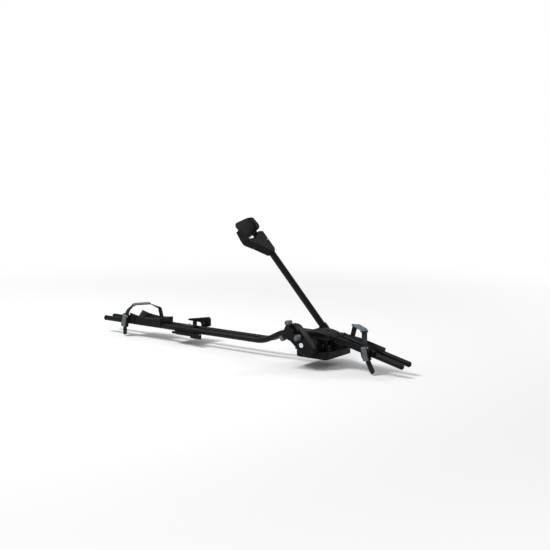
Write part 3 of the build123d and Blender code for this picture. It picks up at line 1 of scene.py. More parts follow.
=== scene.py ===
# %% [markdown]
# # A roof bike carrier
# Two black tubes stand on two feet and hold a tray near each end. A folding arm with a claw rises from
# the main foot, and the knob beside it tightens the claw. The solids come in as they were built, so
# the work here is what solids can't say: how each surface looks, and the real form of the soft and the
# very small pieces. One could model everything anew in Blender, but then the two models would differ.
# Each solid keeps its built shape, and only soft ones give way to a better piece.

# %% Load the frame
import json
from math import cos, degrees, pi, radians, sin, tan
from types import SimpleNamespace

import bmesh
import bpy
from mathutils import Matrix, Vector


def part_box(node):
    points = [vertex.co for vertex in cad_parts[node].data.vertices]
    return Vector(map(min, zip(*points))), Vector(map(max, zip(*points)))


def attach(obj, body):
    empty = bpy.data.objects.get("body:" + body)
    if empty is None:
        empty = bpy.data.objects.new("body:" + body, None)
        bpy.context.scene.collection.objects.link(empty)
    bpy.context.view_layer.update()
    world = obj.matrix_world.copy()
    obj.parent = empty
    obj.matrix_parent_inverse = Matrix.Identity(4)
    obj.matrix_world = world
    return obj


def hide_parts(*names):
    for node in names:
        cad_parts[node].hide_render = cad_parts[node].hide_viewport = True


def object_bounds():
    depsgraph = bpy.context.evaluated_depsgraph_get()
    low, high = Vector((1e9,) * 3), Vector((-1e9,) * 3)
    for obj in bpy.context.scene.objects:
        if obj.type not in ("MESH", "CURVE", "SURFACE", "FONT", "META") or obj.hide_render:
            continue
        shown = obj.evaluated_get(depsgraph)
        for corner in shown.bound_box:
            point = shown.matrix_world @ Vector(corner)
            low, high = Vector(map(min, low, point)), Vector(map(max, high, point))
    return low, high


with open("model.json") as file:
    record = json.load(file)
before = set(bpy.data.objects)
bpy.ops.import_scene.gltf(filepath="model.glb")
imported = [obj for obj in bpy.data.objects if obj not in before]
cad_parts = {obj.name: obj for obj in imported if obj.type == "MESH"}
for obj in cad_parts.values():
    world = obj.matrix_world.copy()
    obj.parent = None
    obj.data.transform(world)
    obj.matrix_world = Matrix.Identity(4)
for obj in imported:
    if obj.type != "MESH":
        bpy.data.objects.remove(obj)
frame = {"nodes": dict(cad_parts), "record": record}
cad_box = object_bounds()
mm = 0.001

# %% [markdown]
# ## Which body, which finish
# On the real carrier each piece belongs to something that moves as one, and is of one material. The
# record holds both facts. They could be typed again beside each new piece, but two lists drift apart,
# so these look-ups come from the record and every new piece asks them.

# %% Bodies and slots
body_of_node = {
    node: body
    for body, group in frame["record"]["behaviour"]["bodies"].items()
    for node in group
}
slot_of_node = {row["node"]: row["material_slot"] for row in frame["record"]["subparts"]}
print("slots", sorted(set(slot_of_node.values())))

# %% [markdown]
# ## The camera
# The view is from the front and from the knob's side, a little above the tubes, through a long lens:
# the far tray looks hardly smaller than the near one. A camera can be aimed by eye, but then no edge
# in the render lies quite where it should. Place, heading and focal length come from a fit instead.
# The lens in millimetres follows from the sensor's width and the focal length in picture widths.

# %% Camera
camera_place = (2.371, -3.504, 0.913)
camera_azimuth = radians(36.41)
camera_drop = radians(8.47)
sensor_width = 36.0
focal_share = 2.2296

camera_data = bpy.data.cameras.new("camera")
camera_data.sensor_width = sensor_width
camera_data.lens = sensor_width * focal_share
camera = bpy.data.objects.new("camera", camera_data)
bpy.context.scene.collection.objects.link(camera)
look = Vector((
    -sin(camera_azimuth) * cos(camera_drop),
    cos(camera_azimuth) * cos(camera_drop),
    -sin(camera_drop),
))
camera.location = camera_place
camera.rotation_mode = "QUATERNION"
camera.rotation_quaternion = look.to_track_quat("-Z", "Y")
bpy.context.scene.camera = camera
print("lens", round(camera_data.lens, 2))

# %% [markdown]
# ## The studio
# Black plastic shows its shape by soft reflections, so it needs broad, plain light from all round,
# which the world gives. At full white the world would turn the black parts grey. It is white only
# where the camera looks at it, straight or through something clear, and lights the carrier at half
# that. The Light Path node tells these rays from the others. A picture of a room could light the
# scene too, but plain light shows a finish as it is. The Standard view transform does the same for
# colour: a number written in a shader comes out as that shade.

# %% World
world_level = 0.5
white_level = 1

world = bpy.data.worlds.new("studio")
bpy.context.scene.world = world
world.use_nodes = True
world_nodes = world.node_tree.nodes
world_links = world.node_tree.links
background = world_nodes["Background"]
background.inputs["Color"].default_value = (1, 1, 1, 1)
light_path = world_nodes.new("ShaderNodeLightPath")
seen = world_nodes.new("ShaderNodeMath")
seen.operation = "MAXIMUM"
strength = world_nodes.new("ShaderNodeMapRange")
strength.inputs["To Min"].default_value = world_level
strength.inputs["To Max"].default_value = white_level
world_links.new(light_path.outputs["Is Camera Ray"], seen.inputs[0])
world_links.new(light_path.outputs["Is Transmission Ray"], seen.inputs[1])
world_links.new(seen.outputs["Value"], strength.inputs["Value"])
world_links.new(strength.outputs["Result"], background.inputs["Strength"])
bpy.context.scene.view_settings.view_transform = "Standard"
print("world", world_level, "as light,", white_level, "to the camera")

# %% [markdown]
# ### Lamps
# Light from all round throws no clear shadow, and a part without a shadow seems to float. A large
# square lamp high on the left gives the direction, and its size keeps the shadow's edge soft. A weaker
# one from behind draws a bright line along the upper edges, which parts black from black. A sun lamp
# would be simpler, but it shows on the tubes as a thin hard line and not as a soft band.

# %% Lamps
key_place = (-1.6, -1.4, 3.2)
key_size = 1.4
key_watts = 125
rim_place = (1.4, 2.6, 1.8)
rim_size = 1.2
rim_watts = 30
middle = (cad_box[0] + cad_box[1]) / 2


def add_softbox(name, place, size, watts):
    """A square lamp that faces the middle of the carrier."""
    lamp = bpy.data.lights.new(name, "AREA")
    lamp.size = size
    lamp.energy = watts
    holder = bpy.data.objects.new(name, lamp)
    bpy.context.scene.collection.objects.link(holder)
    holder.location = place
    holder.rotation_mode = "QUATERNION"
    holder.rotation_quaternion = (middle - Vector(place)).to_track_quat("-Z", "Y")


add_softbox("key_lamp", key_place, key_size, key_watts)
add_softbox("rim_lamp", rim_place, rim_size, rim_watts)
print("lamps", key_watts, "W and", rim_watts, "W")

# %% [markdown]
# ### Floor
# The carrier needs a floor to throw its shadow on, but a plain sheet shows a grey line where it ends.
# A curved backdrop hides that line and has to stand in the right place for each view. Here the sheet
# stays flat, a millimetre below the lowest point, and its paper fades into white light with distance,
# which looks the same from every side.

# %% Floor
floor_size = 24
floor_gap = 1 * mm
floor_edge = floor_size / 2
floor_level = cad_box[0].z - floor_gap

floor_mesh = bpy.data.meshes.new("floor")
floor_corners = [
    (middle.x + x * floor_edge, middle.y + y * floor_edge, floor_level)
    for x, y in ((-1, -1), (1, -1), (1, 1), (-1, 1))
]
floor_mesh.from_pydata(floor_corners, [], [(0, 1, 2, 3)])
floor = bpy.data.objects.new("floor", floor_mesh)
bpy.context.scene.collection.objects.link(floor)
print("floor at", round(floor_level, 4), "m")

# %% [markdown]
# ### The floor's paper
# Matt paper is a rough shader with hardly any reflection. Two shaders are mixed by how far a point
# lies from the carrier's middle: near it the paper, which takes the shadow, and far off a glow of
# strength 1, which is white. A smooth step between the two leaves no ring.

# %% Floor paper
paper_shade = 0.78
paper_roughness = 0.9
paper_specular = 0.1
fade_start = 0.8
fade_end = 2.6

paper = bpy.data.materials.new("floor_paper")
paper.use_nodes = True
paper_nodes = paper.node_tree.nodes
paper_links = paper.node_tree.links
paper_shader = paper_nodes["Principled BSDF"]
paper_shader.inputs["Base Color"].default_value = (paper_shade, paper_shade, paper_shade, 1)
paper_shader.inputs["Roughness"].default_value = paper_roughness
paper_shader.inputs["Specular IOR Level"].default_value = paper_specular
glow = paper_nodes.new("ShaderNodeEmission")
far_mix = paper_nodes.new("ShaderNodeMixShader")
paper_coords = paper_nodes.new("ShaderNodeTexCoord")
away = paper_nodes.new("ShaderNodeVectorMath")
away.operation = "DISTANCE"
away.inputs[1].default_value = (middle.x, middle.y, floor_level)
fade = paper_nodes.new("ShaderNodeMapRange")
fade.interpolation_type = "SMOOTHSTEP"
fade.inputs["From Min"].default_value = fade_start
fade.inputs["From Max"].default_value = fade_end
paper_links.new(paper_coords.outputs["Object"], away.inputs[0])
paper_links.new(away.outputs["Value"], fade.inputs["Value"])
paper_links.new(fade.outputs["Result"], far_mix.inputs["Fac"])
paper_links.new(paper_shader.outputs["BSDF"], far_mix.inputs[1])
paper_links.new(glow.outputs["Emission"], far_mix.inputs[2])
paper_links.new(far_mix.outputs["Shader"], paper_nodes["Material Output"].inputs["Surface"])
floor_mesh.materials.append(paper)
print("paper fades from", fade_start, "to", fade_end, "m")

# %% [markdown]
# ## Finishes
# Nearly everything here is black, so what tells one material from the next is grain, gloss and how its
# edges wear. A photo of each surface could be wrapped round it, but these solids have no UV map, and
# noise in Object coordinates needs none: it runs through a piece like the grain of the stuff itself.
# All finishes start from one helper. Its Bevel node bends the light at a sharp edge as the small
# radius of a real mould does, and a fine noise on top of that gives the grain as bump.

# %% The start of a finish
edge_samples = 4
grain_detail = 3
grain_strength = 0.6


def add_noise(finish, scale, detail):
    """Noise through the whole piece; returns its value."""
    noise = finish.nodes.new("ShaderNodeTexNoise")
    noise.inputs["Scale"].default_value = scale
    noise.inputs["Detail"].default_value = detail
    finish.links.new(finish.coords.outputs["Object"], noise.inputs["Vector"])
    return noise.outputs["Fac"]


def add_bump(finish, height, distance, strength, normal):
    """Bump from a value, on top of the bump so far; returns the bent normal."""
    bump = finish.nodes.new("ShaderNodeBump")
    bump.inputs["Distance"].default_value = distance
    bump.inputs["Strength"].default_value = strength
    finish.links.new(height, bump.inputs["Height"])
    finish.links.new(normal, bump.inputs["Normal"])
    finish.links.new(bump.outputs["Normal"], finish.shader.inputs["Normal"])
    return bump.outputs["Normal"]


def start_finish(name, colour, roughness, edge, grain, grain_depth, specular, metallic=0.0):
    """A material with soft edges and a fine grain, and what the next steps join to."""
    material = bpy.data.materials.new(name)
    material.use_nodes = True
    nodes = material.node_tree.nodes
    finish = SimpleNamespace(
        material=material,
        nodes=nodes,
        links=material.node_tree.links,
        shader=nodes["Principled BSDF"],
        coords=nodes.new("ShaderNodeTexCoord"),
        soft_edge=nodes.new("ShaderNodeBevel"),
    )
    finish.shader.inputs["Base Color"].default_value = (*colour, 1)
    finish.shader.inputs["Roughness"].default_value = roughness
    finish.shader.inputs["Specular IOR Level"].default_value = specular
    finish.shader.inputs["Metallic"].default_value = metallic
    finish.soft_edge.samples = edge_samples
    finish.soft_edge.inputs["Radius"].default_value = edge
    fine = add_noise(finish, grain, grain_detail)
    finish.grain = add_bump(finish, fine, grain_depth, grain_strength, finish.soft_edge.outputs["Normal"])
    return finish


print("edge samples", edge_samples)

# %% [markdown]
# ### Uneven gloss
# Hands and weather leave patches on any surface that are a little glossier than the rest. A single
# roughness makes a surface too even to be real. A slow noise is spread over a small range of roughness
# instead. Noise mostly stays near its middle, so its inner part is stretched over the whole range.

# %% Patches of gloss
patch_detail = 4
noise_low = 0.3
noise_high = 0.7


def add_range(finish, value, from_min, from_max, to_min=0, to_max=1):
    """A value moved from one range to another; returns the result."""
    level = finish.nodes.new("ShaderNodeMapRange")
    level.inputs["From Min"].default_value = from_min
    level.inputs["From Max"].default_value = from_max
    level.inputs["To Min"].default_value = to_min
    level.inputs["To Max"].default_value = to_max
    finish.links.new(value, level.inputs["Value"])
    return level.outputs["Result"]


def vary_roughness(finish, low, high, scale):
    """Slow patches of a little more and a little less gloss."""
    patches = add_noise(finish, scale, patch_detail)
    level = add_range(finish, patches, noise_low, noise_high, low, high)
    finish.links.new(level, finish.shader.inputs["Roughness"])


print("noise used from", noise_low, "to", noise_high)

# %% [markdown]
# ### Rubbed edges
# Where a moulding is handled and knocked, its edges turn pale first. Paler edges could be painted on,
# piece by piece. The Bevel node finds them for all pieces at once: on a flat face its soft normal and
# the true one agree, and at an edge they part, so their dot product falls below 1. Noise breaks the
# pale line up, and the same noise mottles the faces a little.

# %% Worn edges
edge_starts = 0.995
edge_full = 0.9
break_scale = 90
break_detail = 5
break_low = 0.35
break_high = 0.75
mottle_gain = 1.35


def blend_colours(finish, share, second):
    """A colour mix by a share, whose second colour is given; returns the node."""
    blend = finish.nodes.new("ShaderNodeMix")
    blend.data_type = "RGBA"
    blend.inputs["B"].default_value = (*second, 1)
    finish.links.new(share, blend.inputs["Factor"])
    return blend


def wear_edges(finish, colour, worn):
    """A paler colour along the edges, broken up by noise, and a slight mottle on the faces."""
    true_normal = finish.nodes.new("ShaderNodeNewGeometry").outputs["Normal"]
    turn = finish.nodes.new("ShaderNodeVectorMath")
    turn.operation = "DOT_PRODUCT"
    finish.links.new(finish.soft_edge.outputs["Normal"], turn.inputs[0])
    finish.links.new(true_normal, turn.inputs[1])
    on_edge = add_range(finish, turn.outputs["Value"], edge_starts, edge_full)
    rubbed = add_range(finish, add_noise(finish, break_scale, break_detail), break_low, break_high)
    share = finish.nodes.new("ShaderNodeMath")
    share.operation = "MULTIPLY"
    finish.links.new(on_edge, share.inputs[0])
    finish.links.new(rubbed, share.inputs[1])
    mottle = blend_colours(finish, rubbed, [mottle_gain * part for part in colour])
    mottle.inputs["A"].default_value = (*colour, 1)
    blend = blend_colours(finish, share.outputs["Value"], worn)
    finish.links.new(mottle.outputs["Result"], blend.inputs["A"])
    finish.links.new(blend.outputs["Result"], finish.shader.inputs["Base Color"])


print("edges read from", edge_starts, "to", edge_full)

# %% [markdown]
# ### Moulded black plastic
# The feet, trays, housing and the head of the arm are glass-filled nylon, which leaves its mould with
# a fine spark-eroded grain. Real dents in the mesh would take millions of faces, so the grain is bump,
# and small enough to vanish a step away. Its black is a little lighter and duller than the tubes'.

# %% Moulded black plastic
def make_moulded_black():
    """Grained nylon with pale edges."""
    colour = (0.0055, 0.0055, 0.006)
    finish = start_finish(
        "moulded_black", colour, roughness=0.46, edge=0.7 * mm, grain=1500, grain_depth=0.05 * mm,
        specular=0.1,
    )
    vary_roughness(finish, low=0.38, high=0.52, scale=22)
    wear_edges(finish, colour, worn=(0.035, 0.035, 0.037))
    return finish.material


moulded_black = make_moulded_black()
print(moulded_black.name, len(moulded_black.node_tree.nodes), "nodes")

# %% [markdown]
# ### Powder-coated tube
# The tubes' coat is a plastic powder that has melted flat, glossier than the mouldings and with a
# faint orange peel. A lower roughness alone gives one blurred highlight. The shader's clear coat lays
# a sharper one over it, which is how such a skin shines.

# %% Powder coat
def make_powder_coat():
    """Smooth melted powder with a thin clear skin."""
    finish = start_finish(
        "powder_coat", (0.0045, 0.0045, 0.005), roughness=0.3, edge=0.5 * mm, grain=420,
        grain_depth=0.05 * mm, specular=0.12,
    )
    finish.shader.inputs["Coat Weight"].default_value = 0.05
    finish.shader.inputs["Coat Roughness"].default_value = 0.16
    vary_roughness(finish, low=0.3, high=0.4, scale=14)
    return finish.material


powder_coat = make_powder_coat()
print(powder_coat.name, len(powder_coat.node_tree.nodes), "nodes")

# %% [markdown]
# ### Rubber and soft grips
# The pads and straps are black rubber. The knob's grips and the sleeves are slate rubber, and the
# buckles' levers a slightly glossier slate plastic. Rubber is rougher than plastic and has a bloom, a
# faint pale sheen at a low angle, which the shader's sheen gives better than a paler colour would. All
# of them differ only in pigment and gloss, so one function makes them.

# %% Rubber
slate = (0.092, 0.1, 0.108)
slate_worn = (0.19, 0.2, 0.21)
rubber_patches = 0.07


def make_rubber(name, colour, worn, roughness):
    """Rubber or soft plastic with a bloom and pale edges."""
    finish = start_finish(
        name, colour, roughness, edge=0.8 * mm, grain=900, grain_depth=0.06 * mm, specular=0.2
    )
    finish.shader.inputs["Sheen Weight"].default_value = 0.04
    finish.shader.inputs["Sheen Roughness"].default_value = 0.5
    vary_roughness(finish, roughness - rubber_patches, roughness + rubber_patches, scale=35)
    wear_edges(finish, colour, worn)
    return finish.material


black_rubber = make_rubber(
    "black_rubber", colour=(0.0075, 0.0075, 0.008), worn=(0.028, 0.028, 0.03), roughness=0.6
)
slate_rubber = make_rubber("slate_rubber", slate, slate_worn, roughness=0.6)
slate_plastic = make_rubber("slate_plastic", slate, slate_worn, roughness=0.48)
print(black_rubber.name, slate_rubber.name, slate_plastic.name)

# %% [markdown]
# ### Plated and blackened steel
# The bolts, nuts and pins are zinc plated, and the housing's screws and the arm's rivets blackened.
# Metal has no colour below its gloss: its base colour is the tint of its mirror, so the shader is
# fully metallic. The two differ in that tint and in how blurred the mirror is.

# %% Metals
smoother = 0.06
rougher = 0.1


def make_metal(name, colour, roughness, grain):
    """A thin plated or blackened skin on steel."""
    finish = start_finish(
        name, colour, roughness, edge=0.25 * mm, grain=grain, grain_depth=0.02 * mm, specular=0.5,
        metallic=1.0,
    )
    vary_roughness(finish, roughness - smoother, roughness + rougher, scale=120)
    return finish.material


zinc_plate = make_metal("zinc_plate", colour=(0.5, 0.5, 0.52), roughness=0.36, grain=300)
black_oxide = make_metal("black_oxide", colour=(0.035, 0.035, 0.037), roughness=0.42, grain=500)
print(zinc_plate.name, black_oxide.name)

# %% [markdown]
# ### Turned nickel on the lock
# The lock is satin nickel that was faced on a lathe, so it shows fine rings round its own axis. An
# anisotropic shader stretches the highlight in the same way but shows no ring. A Wave texture makes
# real rings. They would circle the object's origin, which lies under the main foot, so a Mapping node
# first moves the pattern's middle onto the lock.

# %% Turned nickel
ring_scale = 900
ring_depth = 0.01 * mm
ring_strength = 0.5


def make_turned_nickel():
    """Satin nickel with turning marks round the lock's axis."""
    finish = start_finish(
        "turned_nickel", (0.74, 0.74, 0.75), roughness=0.24, edge=0.25 * mm, grain=2500,
        grain_depth=0.01 * mm, specular=0.5, metallic=1.0,
    )
    low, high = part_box("lock_barrel")
    centre = finish.nodes.new("ShaderNodeMapping")
    centre.inputs["Location"].default_value = [-(a + b) / 2 for a, b in zip(low, high)]
    rings = finish.nodes.new("ShaderNodeTexWave")
    rings.wave_type = "RINGS"
    rings.rings_direction = "Y"
    rings.inputs["Scale"].default_value = ring_scale
    finish.links.new(finish.coords.outputs["Object"], centre.inputs["Vector"])
    finish.links.new(centre.outputs["Vector"], rings.inputs["Vector"])
    add_bump(finish, rings.outputs["Fac"], ring_depth, ring_strength, finish.grain)
    return finish.material


turned_nickel = make_turned_nickel()
print(turned_nickel.name, len(turned_nickel.node_tree.nodes), "nodes")

# %% [markdown]
# ## Finishes on the solids
# The record gives each piece a slot, such as steel or slate_grip. Choosing a material piece by piece
# would take sixty lines and miss one in the end. One table from slot to finish and one loop reach
# every solid, and the new pieces further down use the same table.

# %% Finishes by slot
finishes = {
    "black_plastic": moulded_black,
    "gloss_black_tube": powder_coat,
    "soft_black": black_rubber,
    "slate_grip": slate_rubber,
    "slate_plastic": slate_plastic,
    "steel": zinc_plate,
    "black_steel": black_oxide,
    "bright_lock": turned_nickel,
}
for node, part in frame["nodes"].items():
    part.data.materials.clear()
    part.data.materials.append(finishes[slot_of_node[node]])
print("finishes", len(finishes))

# %% [markdown]
# ## Straps
# A ratchet strap is a moulded rubber band with small steps across its outer face, which the pawl in
# the buckle grips. Its loose tail hangs below the buckle. From there it runs up through the buckle,
# crosses high over the tray at a slant, and comes down to a stud on the far wall. A flat profile could
# be swept along a curve, but a sweep decides for itself how the profile twists, and a strap that
# crosses at a slant has to twist in one place and lie flat in another. So each cross-section is placed
# by a rule. First comes the route, as seven corners in the sizes of the built straps.

# %% The straps' routes
strap_depth = 42.6 * mm
strap_far = 39.5 * mm
top_side = 17 * mm
tail_depth = 49 * mm
tail_level = -27 * mm
buckle_low = -24.9 * mm
buckle_top = 37.5 * mm
stud_drop = 9 * mm
fall = 39 * mm


def in_buckle(reach, height, lean, lift):
    """A point of the route in line with a buckle, at a lift above the buckle's middle."""
    return Vector((reach + tan(radians(lean)) * lift, -strap_depth, height + lift))


def strap_route(tail, buckle, height, lean, near_top, far_top, far_edge, stud, wall):
    """The corners from the loose tail through the buckle and over the tray to the stud."""
    return [
        Vector((tail, -tail_depth, tail_level)),
        in_buckle(buckle, height, lean, buckle_low),
        in_buckle(buckle, height, lean, buckle_top),
        Vector((near_top[0], -top_side, near_top[1])),
        Vector((far_top[0], top_side, far_top[1])),
        Vector((far_edge, strap_far, wall + fall)),
        Vector((stud, strap_far, wall - stud_drop)),
    ]


routes = {
    "rear": strap_route(
        tail=-908 * mm, buckle=-908 * mm, height=30 * mm, lean=14,
        near_top=(-888 * mm, 91.5 * mm), far_top=(-839.5 * mm, 95.5 * mm),
        far_edge=-803 * mm, stud=-790 * mm, wall=38 * mm,
    ),
    "front": strap_route(
        tail=235 * mm, buckle=203 * mm, height=38 * mm, lean=-12,
        near_top=(178 * mm, 112 * mm), far_top=(120 * mm, 117.5 * mm),
        far_edge=103 * mm, stud=90 * mm, wall=65 * mm,
    ),
}
print("corners", {prefix: len(corners) for prefix, corners in routes.items()})

# %% [markdown]
# ### Stations along a route
# Such a band doesn't fold at a corner but rounds it, tightly at the stud and widely above the tail. Each
# corner becomes an arc of its own radius that meets both straight runs without a kink. A spline would
# round the corners too, and bulge the straight runs between them. Then the line is cut into even
# steps, so that every rib comes out equally long, on a bend and off it.

# %% Rounded corners and even steps
strap_bend = 13 * mm
strap_radii = [3 * strap_bend, 2 * strap_bend, 2 * strap_bend, 2 * strap_bend, strap_bend]
arc_steps = 10


def rounded_route(corners, radii):
    """Points along straight runs that are joined by an arc at each corner."""
    points = [corners[0]]
    for before, corner, after, radius in zip(corners, corners[1:], corners[2:], radii):
        arrive = (corner - before).normalized()
        leave = (after - corner).normalized()
        turn = arrive.angle(leave)
        axis = arrive.cross(leave).normalized()
        start = corner - arrive * (radius * tan(turn / 2))
        centre = start + axis.cross(arrive) * radius
        for step in range(arc_steps + 1):
            rotation = Matrix.Rotation(turn * step / arc_steps, 3, axis)
            points.append(centre + rotation @ (start - centre))
    points.append(corners[-1])
    return points


def even_points(points, spacing):
    """Points at an even spacing along a line, and the line's length."""
    ends = [0]
    for before, after in zip(points, points[1:]):
        ends.append(ends[-1] + (after - before).length)
    count = round(ends[-1] / spacing)
    placed = []
    run = 0
    for index in range(count + 1):
        way = ends[-1] * index / count
        while run < len(points) - 2 and ends[run + 1] < way:
            run += 1
        share = (way - ends[run]) / (ends[run + 1] - ends[run])
        placed.append(points[run].lerp(points[run + 1], share))
    return placed, ends[-1]


for prefix, corners in routes.items():
    print(prefix, "route", len(rounded_route(corners, strap_radii)), "points")

# %% [markdown]
# ### How a strap twists
# In the buckle and at the stud the strap's broad side lies along the tubes. High over the tray it lies
# level, square to the slanting heading of the top run. Blender could find the turn between the two by
# itself, as the least twist, but the strap would then sit askew in its buckle. A smooth blend gives
# every station its broad direction, and the cross product with the line gives the outward one. The
# first station is compared with a point above the tray, to learn which side is the outer one.

# %% Directions at each station
straight_run = 49 * mm
inside_level = 60 * mm
along_tubes = Vector((1, 0, 0))


def strap_frames(corners, spacing):
    """Place, broad direction and outward direction at each station, and the strap's length."""
    placed, length = even_points(rounded_route(corners, strap_radii), spacing)
    last = len(placed) - 1
    heading = (corners[-3] - corners[2]).normalized()
    level = Vector((heading.y, -heading.x, 0)).normalized()
    twist_start = ((corners[1] - corners[0]).length + straight_run) / length
    twist_end = 1 - (corners[-1] - corners[-2]).length / length
    inside = Vector(((corners[3].x + corners[4].x) / 2, 0, inside_level))
    stations = []
    for index, place in enumerate(placed):
        tangent = (placed[min(index + 1, last)] - placed[max(index - 1, 0)]).normalized()
        way = min(max(index / last - twist_start, 0) / (twist_end - twist_start), 1)
        blend = sin(pi * way) ** 2
        wish = along_tubes * (1 - blend) + level * blend
        broad = (wish - tangent * wish.dot(tangent)).normalized()
        outward = broad.cross(tangent)
        if index == 0:
            side = 1 if outward.dot(place - inside) > 0 else -1
        stations.append((place, broad, outward * side))
    return stations, length


for prefix, corners in routes.items():
    stations = strap_frames(corners, strap_bend)[0]
    turns = [along_tubes.angle(station[1]) for station in stations]
    print(prefix, "strap turns by up to", round(degrees(max(turns))), "degrees")

# %% [markdown]
# ### Meshes from rings
# A loft between rings of points is the plainest way to make a band or a sleeve: each ring has as many
# points as the next, and four of them make a face. A strap gets a lid at each end. A sleeve has none:
# its last ring joins the first, because the rings run out along the outside and back inside. A Solidify
# modifier could give a sleeve its wall, but the bore has a shape of its own here.

# %% Rings to a closed mesh
def mesh_from_rings(name, rings, turns_back, material):
    """A closed mesh through rings of points; turns_back joins the last ring to the first."""
    shape = bmesh.new()
    rows = [[shape.verts.new(point) for point in ring] for ring in rings]
    pairs = list(zip(rows, rows[1:]))
    if turns_back:
        pairs.append((rows[-1], rows[0]))
    else:
        shape.faces.new(rows[0])
        shape.faces.new(list(reversed(rows[-1])))
    size = len(rings[0])
    for one, other in pairs:
        for index in range(size):
            after = (index + 1) % size
            shape.faces.new((one[index], other[index], other[after], one[after]))
    bmesh.ops.recalc_face_normals(shape, faces=shape.faces)
    mesh = bpy.data.meshes.new(name)
    shape.to_mesh(mesh)
    shape.free()
    mesh.materials.append(material)
    piece = bpy.data.objects.new(name, mesh)
    bpy.context.scene.collection.objects.link(piece)
    return piece


def hand_over(piece, node):
    """The piece takes the place of a solid, on the same body."""
    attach(piece, body_of_node[node])
    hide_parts(node)


print("helpers: mesh_from_rings, hand_over")

# %% [markdown]
# ### The band itself
# The steps could be bump in the material, but they show on the strap's outline, so they are real: two
# sections high, two sections low. The section is a flat octagon, because a moulded band has slightly
# broken corners, and the tail narrows to a round tip that finds its way into the buckle.

# %% Ribbed straps
strap_width = 19 * mm
strap_thickness = 2.4 * mm
strap_edge = 0.35 * mm
rib_pitch = 3.4 * mm
rib_sections = 4
rib_depth = 0.7 * mm
tip_length = 9 * mm
tip_share = 0.35


def flat_ring(place, broad, outward, width, inner, outer):
    """A flat cross-section with slightly broken corners."""
    half = width / 2
    corners = [
        (half - strap_edge, outer), (half, outer - strap_edge),
        (half, strap_edge - inner), (half - strap_edge, -inner),
        (strap_edge - half, -inner), (-half, strap_edge - inner),
        (-half, outer - strap_edge), (strap_edge - half, outer),
    ]
    return [place + broad * across + outward * out for across, out in corners]


def strap_ring(station, index, from_tip):
    """One section of a strap: narrower at the tip, and lower on each rib's second half."""
    narrow = 1
    if from_tip < tip_length:
        narrow = tip_share + (1 - tip_share) * (1 - (1 - from_tip / tip_length) ** 2) ** 0.5
    in_groove = index % rib_sections >= rib_sections / 2
    outer = strap_thickness / 2 - (rib_depth if in_groove else 0)
    return flat_ring(*station, strap_width * narrow, strap_thickness / 2, outer)


for prefix, corners in routes.items():
    stations, length = strap_frames(corners, rib_pitch / rib_sections)
    last = len(stations) - 1
    rings = [strap_ring(station, index, length * index / last) for index, station in enumerate(stations)]
    piece = mesh_from_rings(
        f"{prefix}_ribbed_strap", rings, turns_back=False, material=finishes["soft_black"]
    )
    hand_over(piece, f"{prefix}_strap")
    print(prefix, "strap", round(length, 3), "m", len(rings), "sections")

# %% [markdown]
# ### Sleeves
# A soft sleeve is pushed over each strap's top run, so that the steps scratch nothing. It is a
# moulded rubber tube, open at both ends and a little wider at its lips. A scaled cylinder would be
# round or sharp-cornered. This section lies between an ellipse and a rectangle: a power of the sine
# and cosine below 1 pushes the ellipse towards its box. The tube follows the stations of the strap
# inside it, so that the two bend and twist as one.

# %% Soft sleeves
sleeve_width = 28 * mm
sleeve_thickness = 9 * mm
bore_width = 20.8 * mm
bore_thickness = 3.8 * mm
sleeve_lap = 6 * mm
sleeve_spacing = 2 * mm
lip_length = 7 * mm
lip_flare = 0.6 * mm
lip_shoulder = 0.7 * mm
ring_points = 28
squareness = 0.5


def soft_ring(place, broad, outward, width, thickness):
    """A rounded cross-section between an ellipse and a rectangle."""
    ring = []
    for index in range(ring_points):
        angle = 2 * pi * index / ring_points
        across = abs(cos(angle)) ** squareness * (1 if cos(angle) > 0 else -1)
        out = abs(sin(angle)) ** squareness * (1 if sin(angle) > 0 else -1)
        ring.append(place + broad * (across * width / 2) + outward * (out * thickness / 2))
    return ring


def lip_growth(to_end):
    """How much wider and thicker the tube is near its lips than at its middle."""
    flare = lip_flare * max(0, 1 - to_end / lip_length) ** 2
    shoulder = lip_shoulder if to_end == 0 else 0
    return 2 * flare - 2 * lip_flare - shoulder


for prefix, corners in routes.items():
    stations = strap_frames(corners, sleeve_spacing)[0]
    runs = [(after - before).length for before, after in zip(corners, corners[1:])]
    top_start = sum(runs[:3])
    top_end = sum(runs[:4])
    first = round((len(stations) - 1) * (top_start - sleeve_lap) / sum(runs))
    last = round((len(stations) - 1) * (top_end + sleeve_lap) / sum(runs))
    outer_rings = []
    inner_rings = []
    for index in range(first, last + 1):
        growth = lip_growth(min(index - first, last - index) * sleeve_spacing)
        station = stations[index]
        outer_rings.append(soft_ring(*station, sleeve_width + growth, sleeve_thickness + growth))
        inner_rings.append(soft_ring(*station, bore_width, bore_thickness))
    rings = outer_rings + inner_rings[::-1]
    piece = mesh_from_rings(
        f"{prefix}_soft_sleeve", rings, turns_back=True, material=finishes["slate_grip"]
    )
    for face in piece.data.polygons:
        face.use_smooth = True
    hand_over(piece, f"{prefix}_strap_sleeve")
    print(prefix, "sleeve", len(outer_rings), "rings")

# %% [markdown]
# ## Rubber pads and grips
# The pads keep the shape of their solids, but rubber never leaves a mould with a sharp edge. They could
# be modelled again with rounded edges. A copy of the solid does as well: its loose triangles are merged,
# those in one plane are joined, and then a Bevel modifier rounds only the edges that turn by a lot, so
# that curved faces stay as they are.

# %% Pads with rounded edges
merge_reach = 0.002 * mm
flat_turn = radians(1)
sharp_turn = radians(32)
rim_segments = 3
pad_rims = {
    "foot_pad": 1.0 * mm,
    "rear_foot_pad": 1.0 * mm,
    "cradle_pad": 0.4 * mm,
    "claw_pad": 1.0 * mm,
    "knob_grips": 0.5 * mm,
}


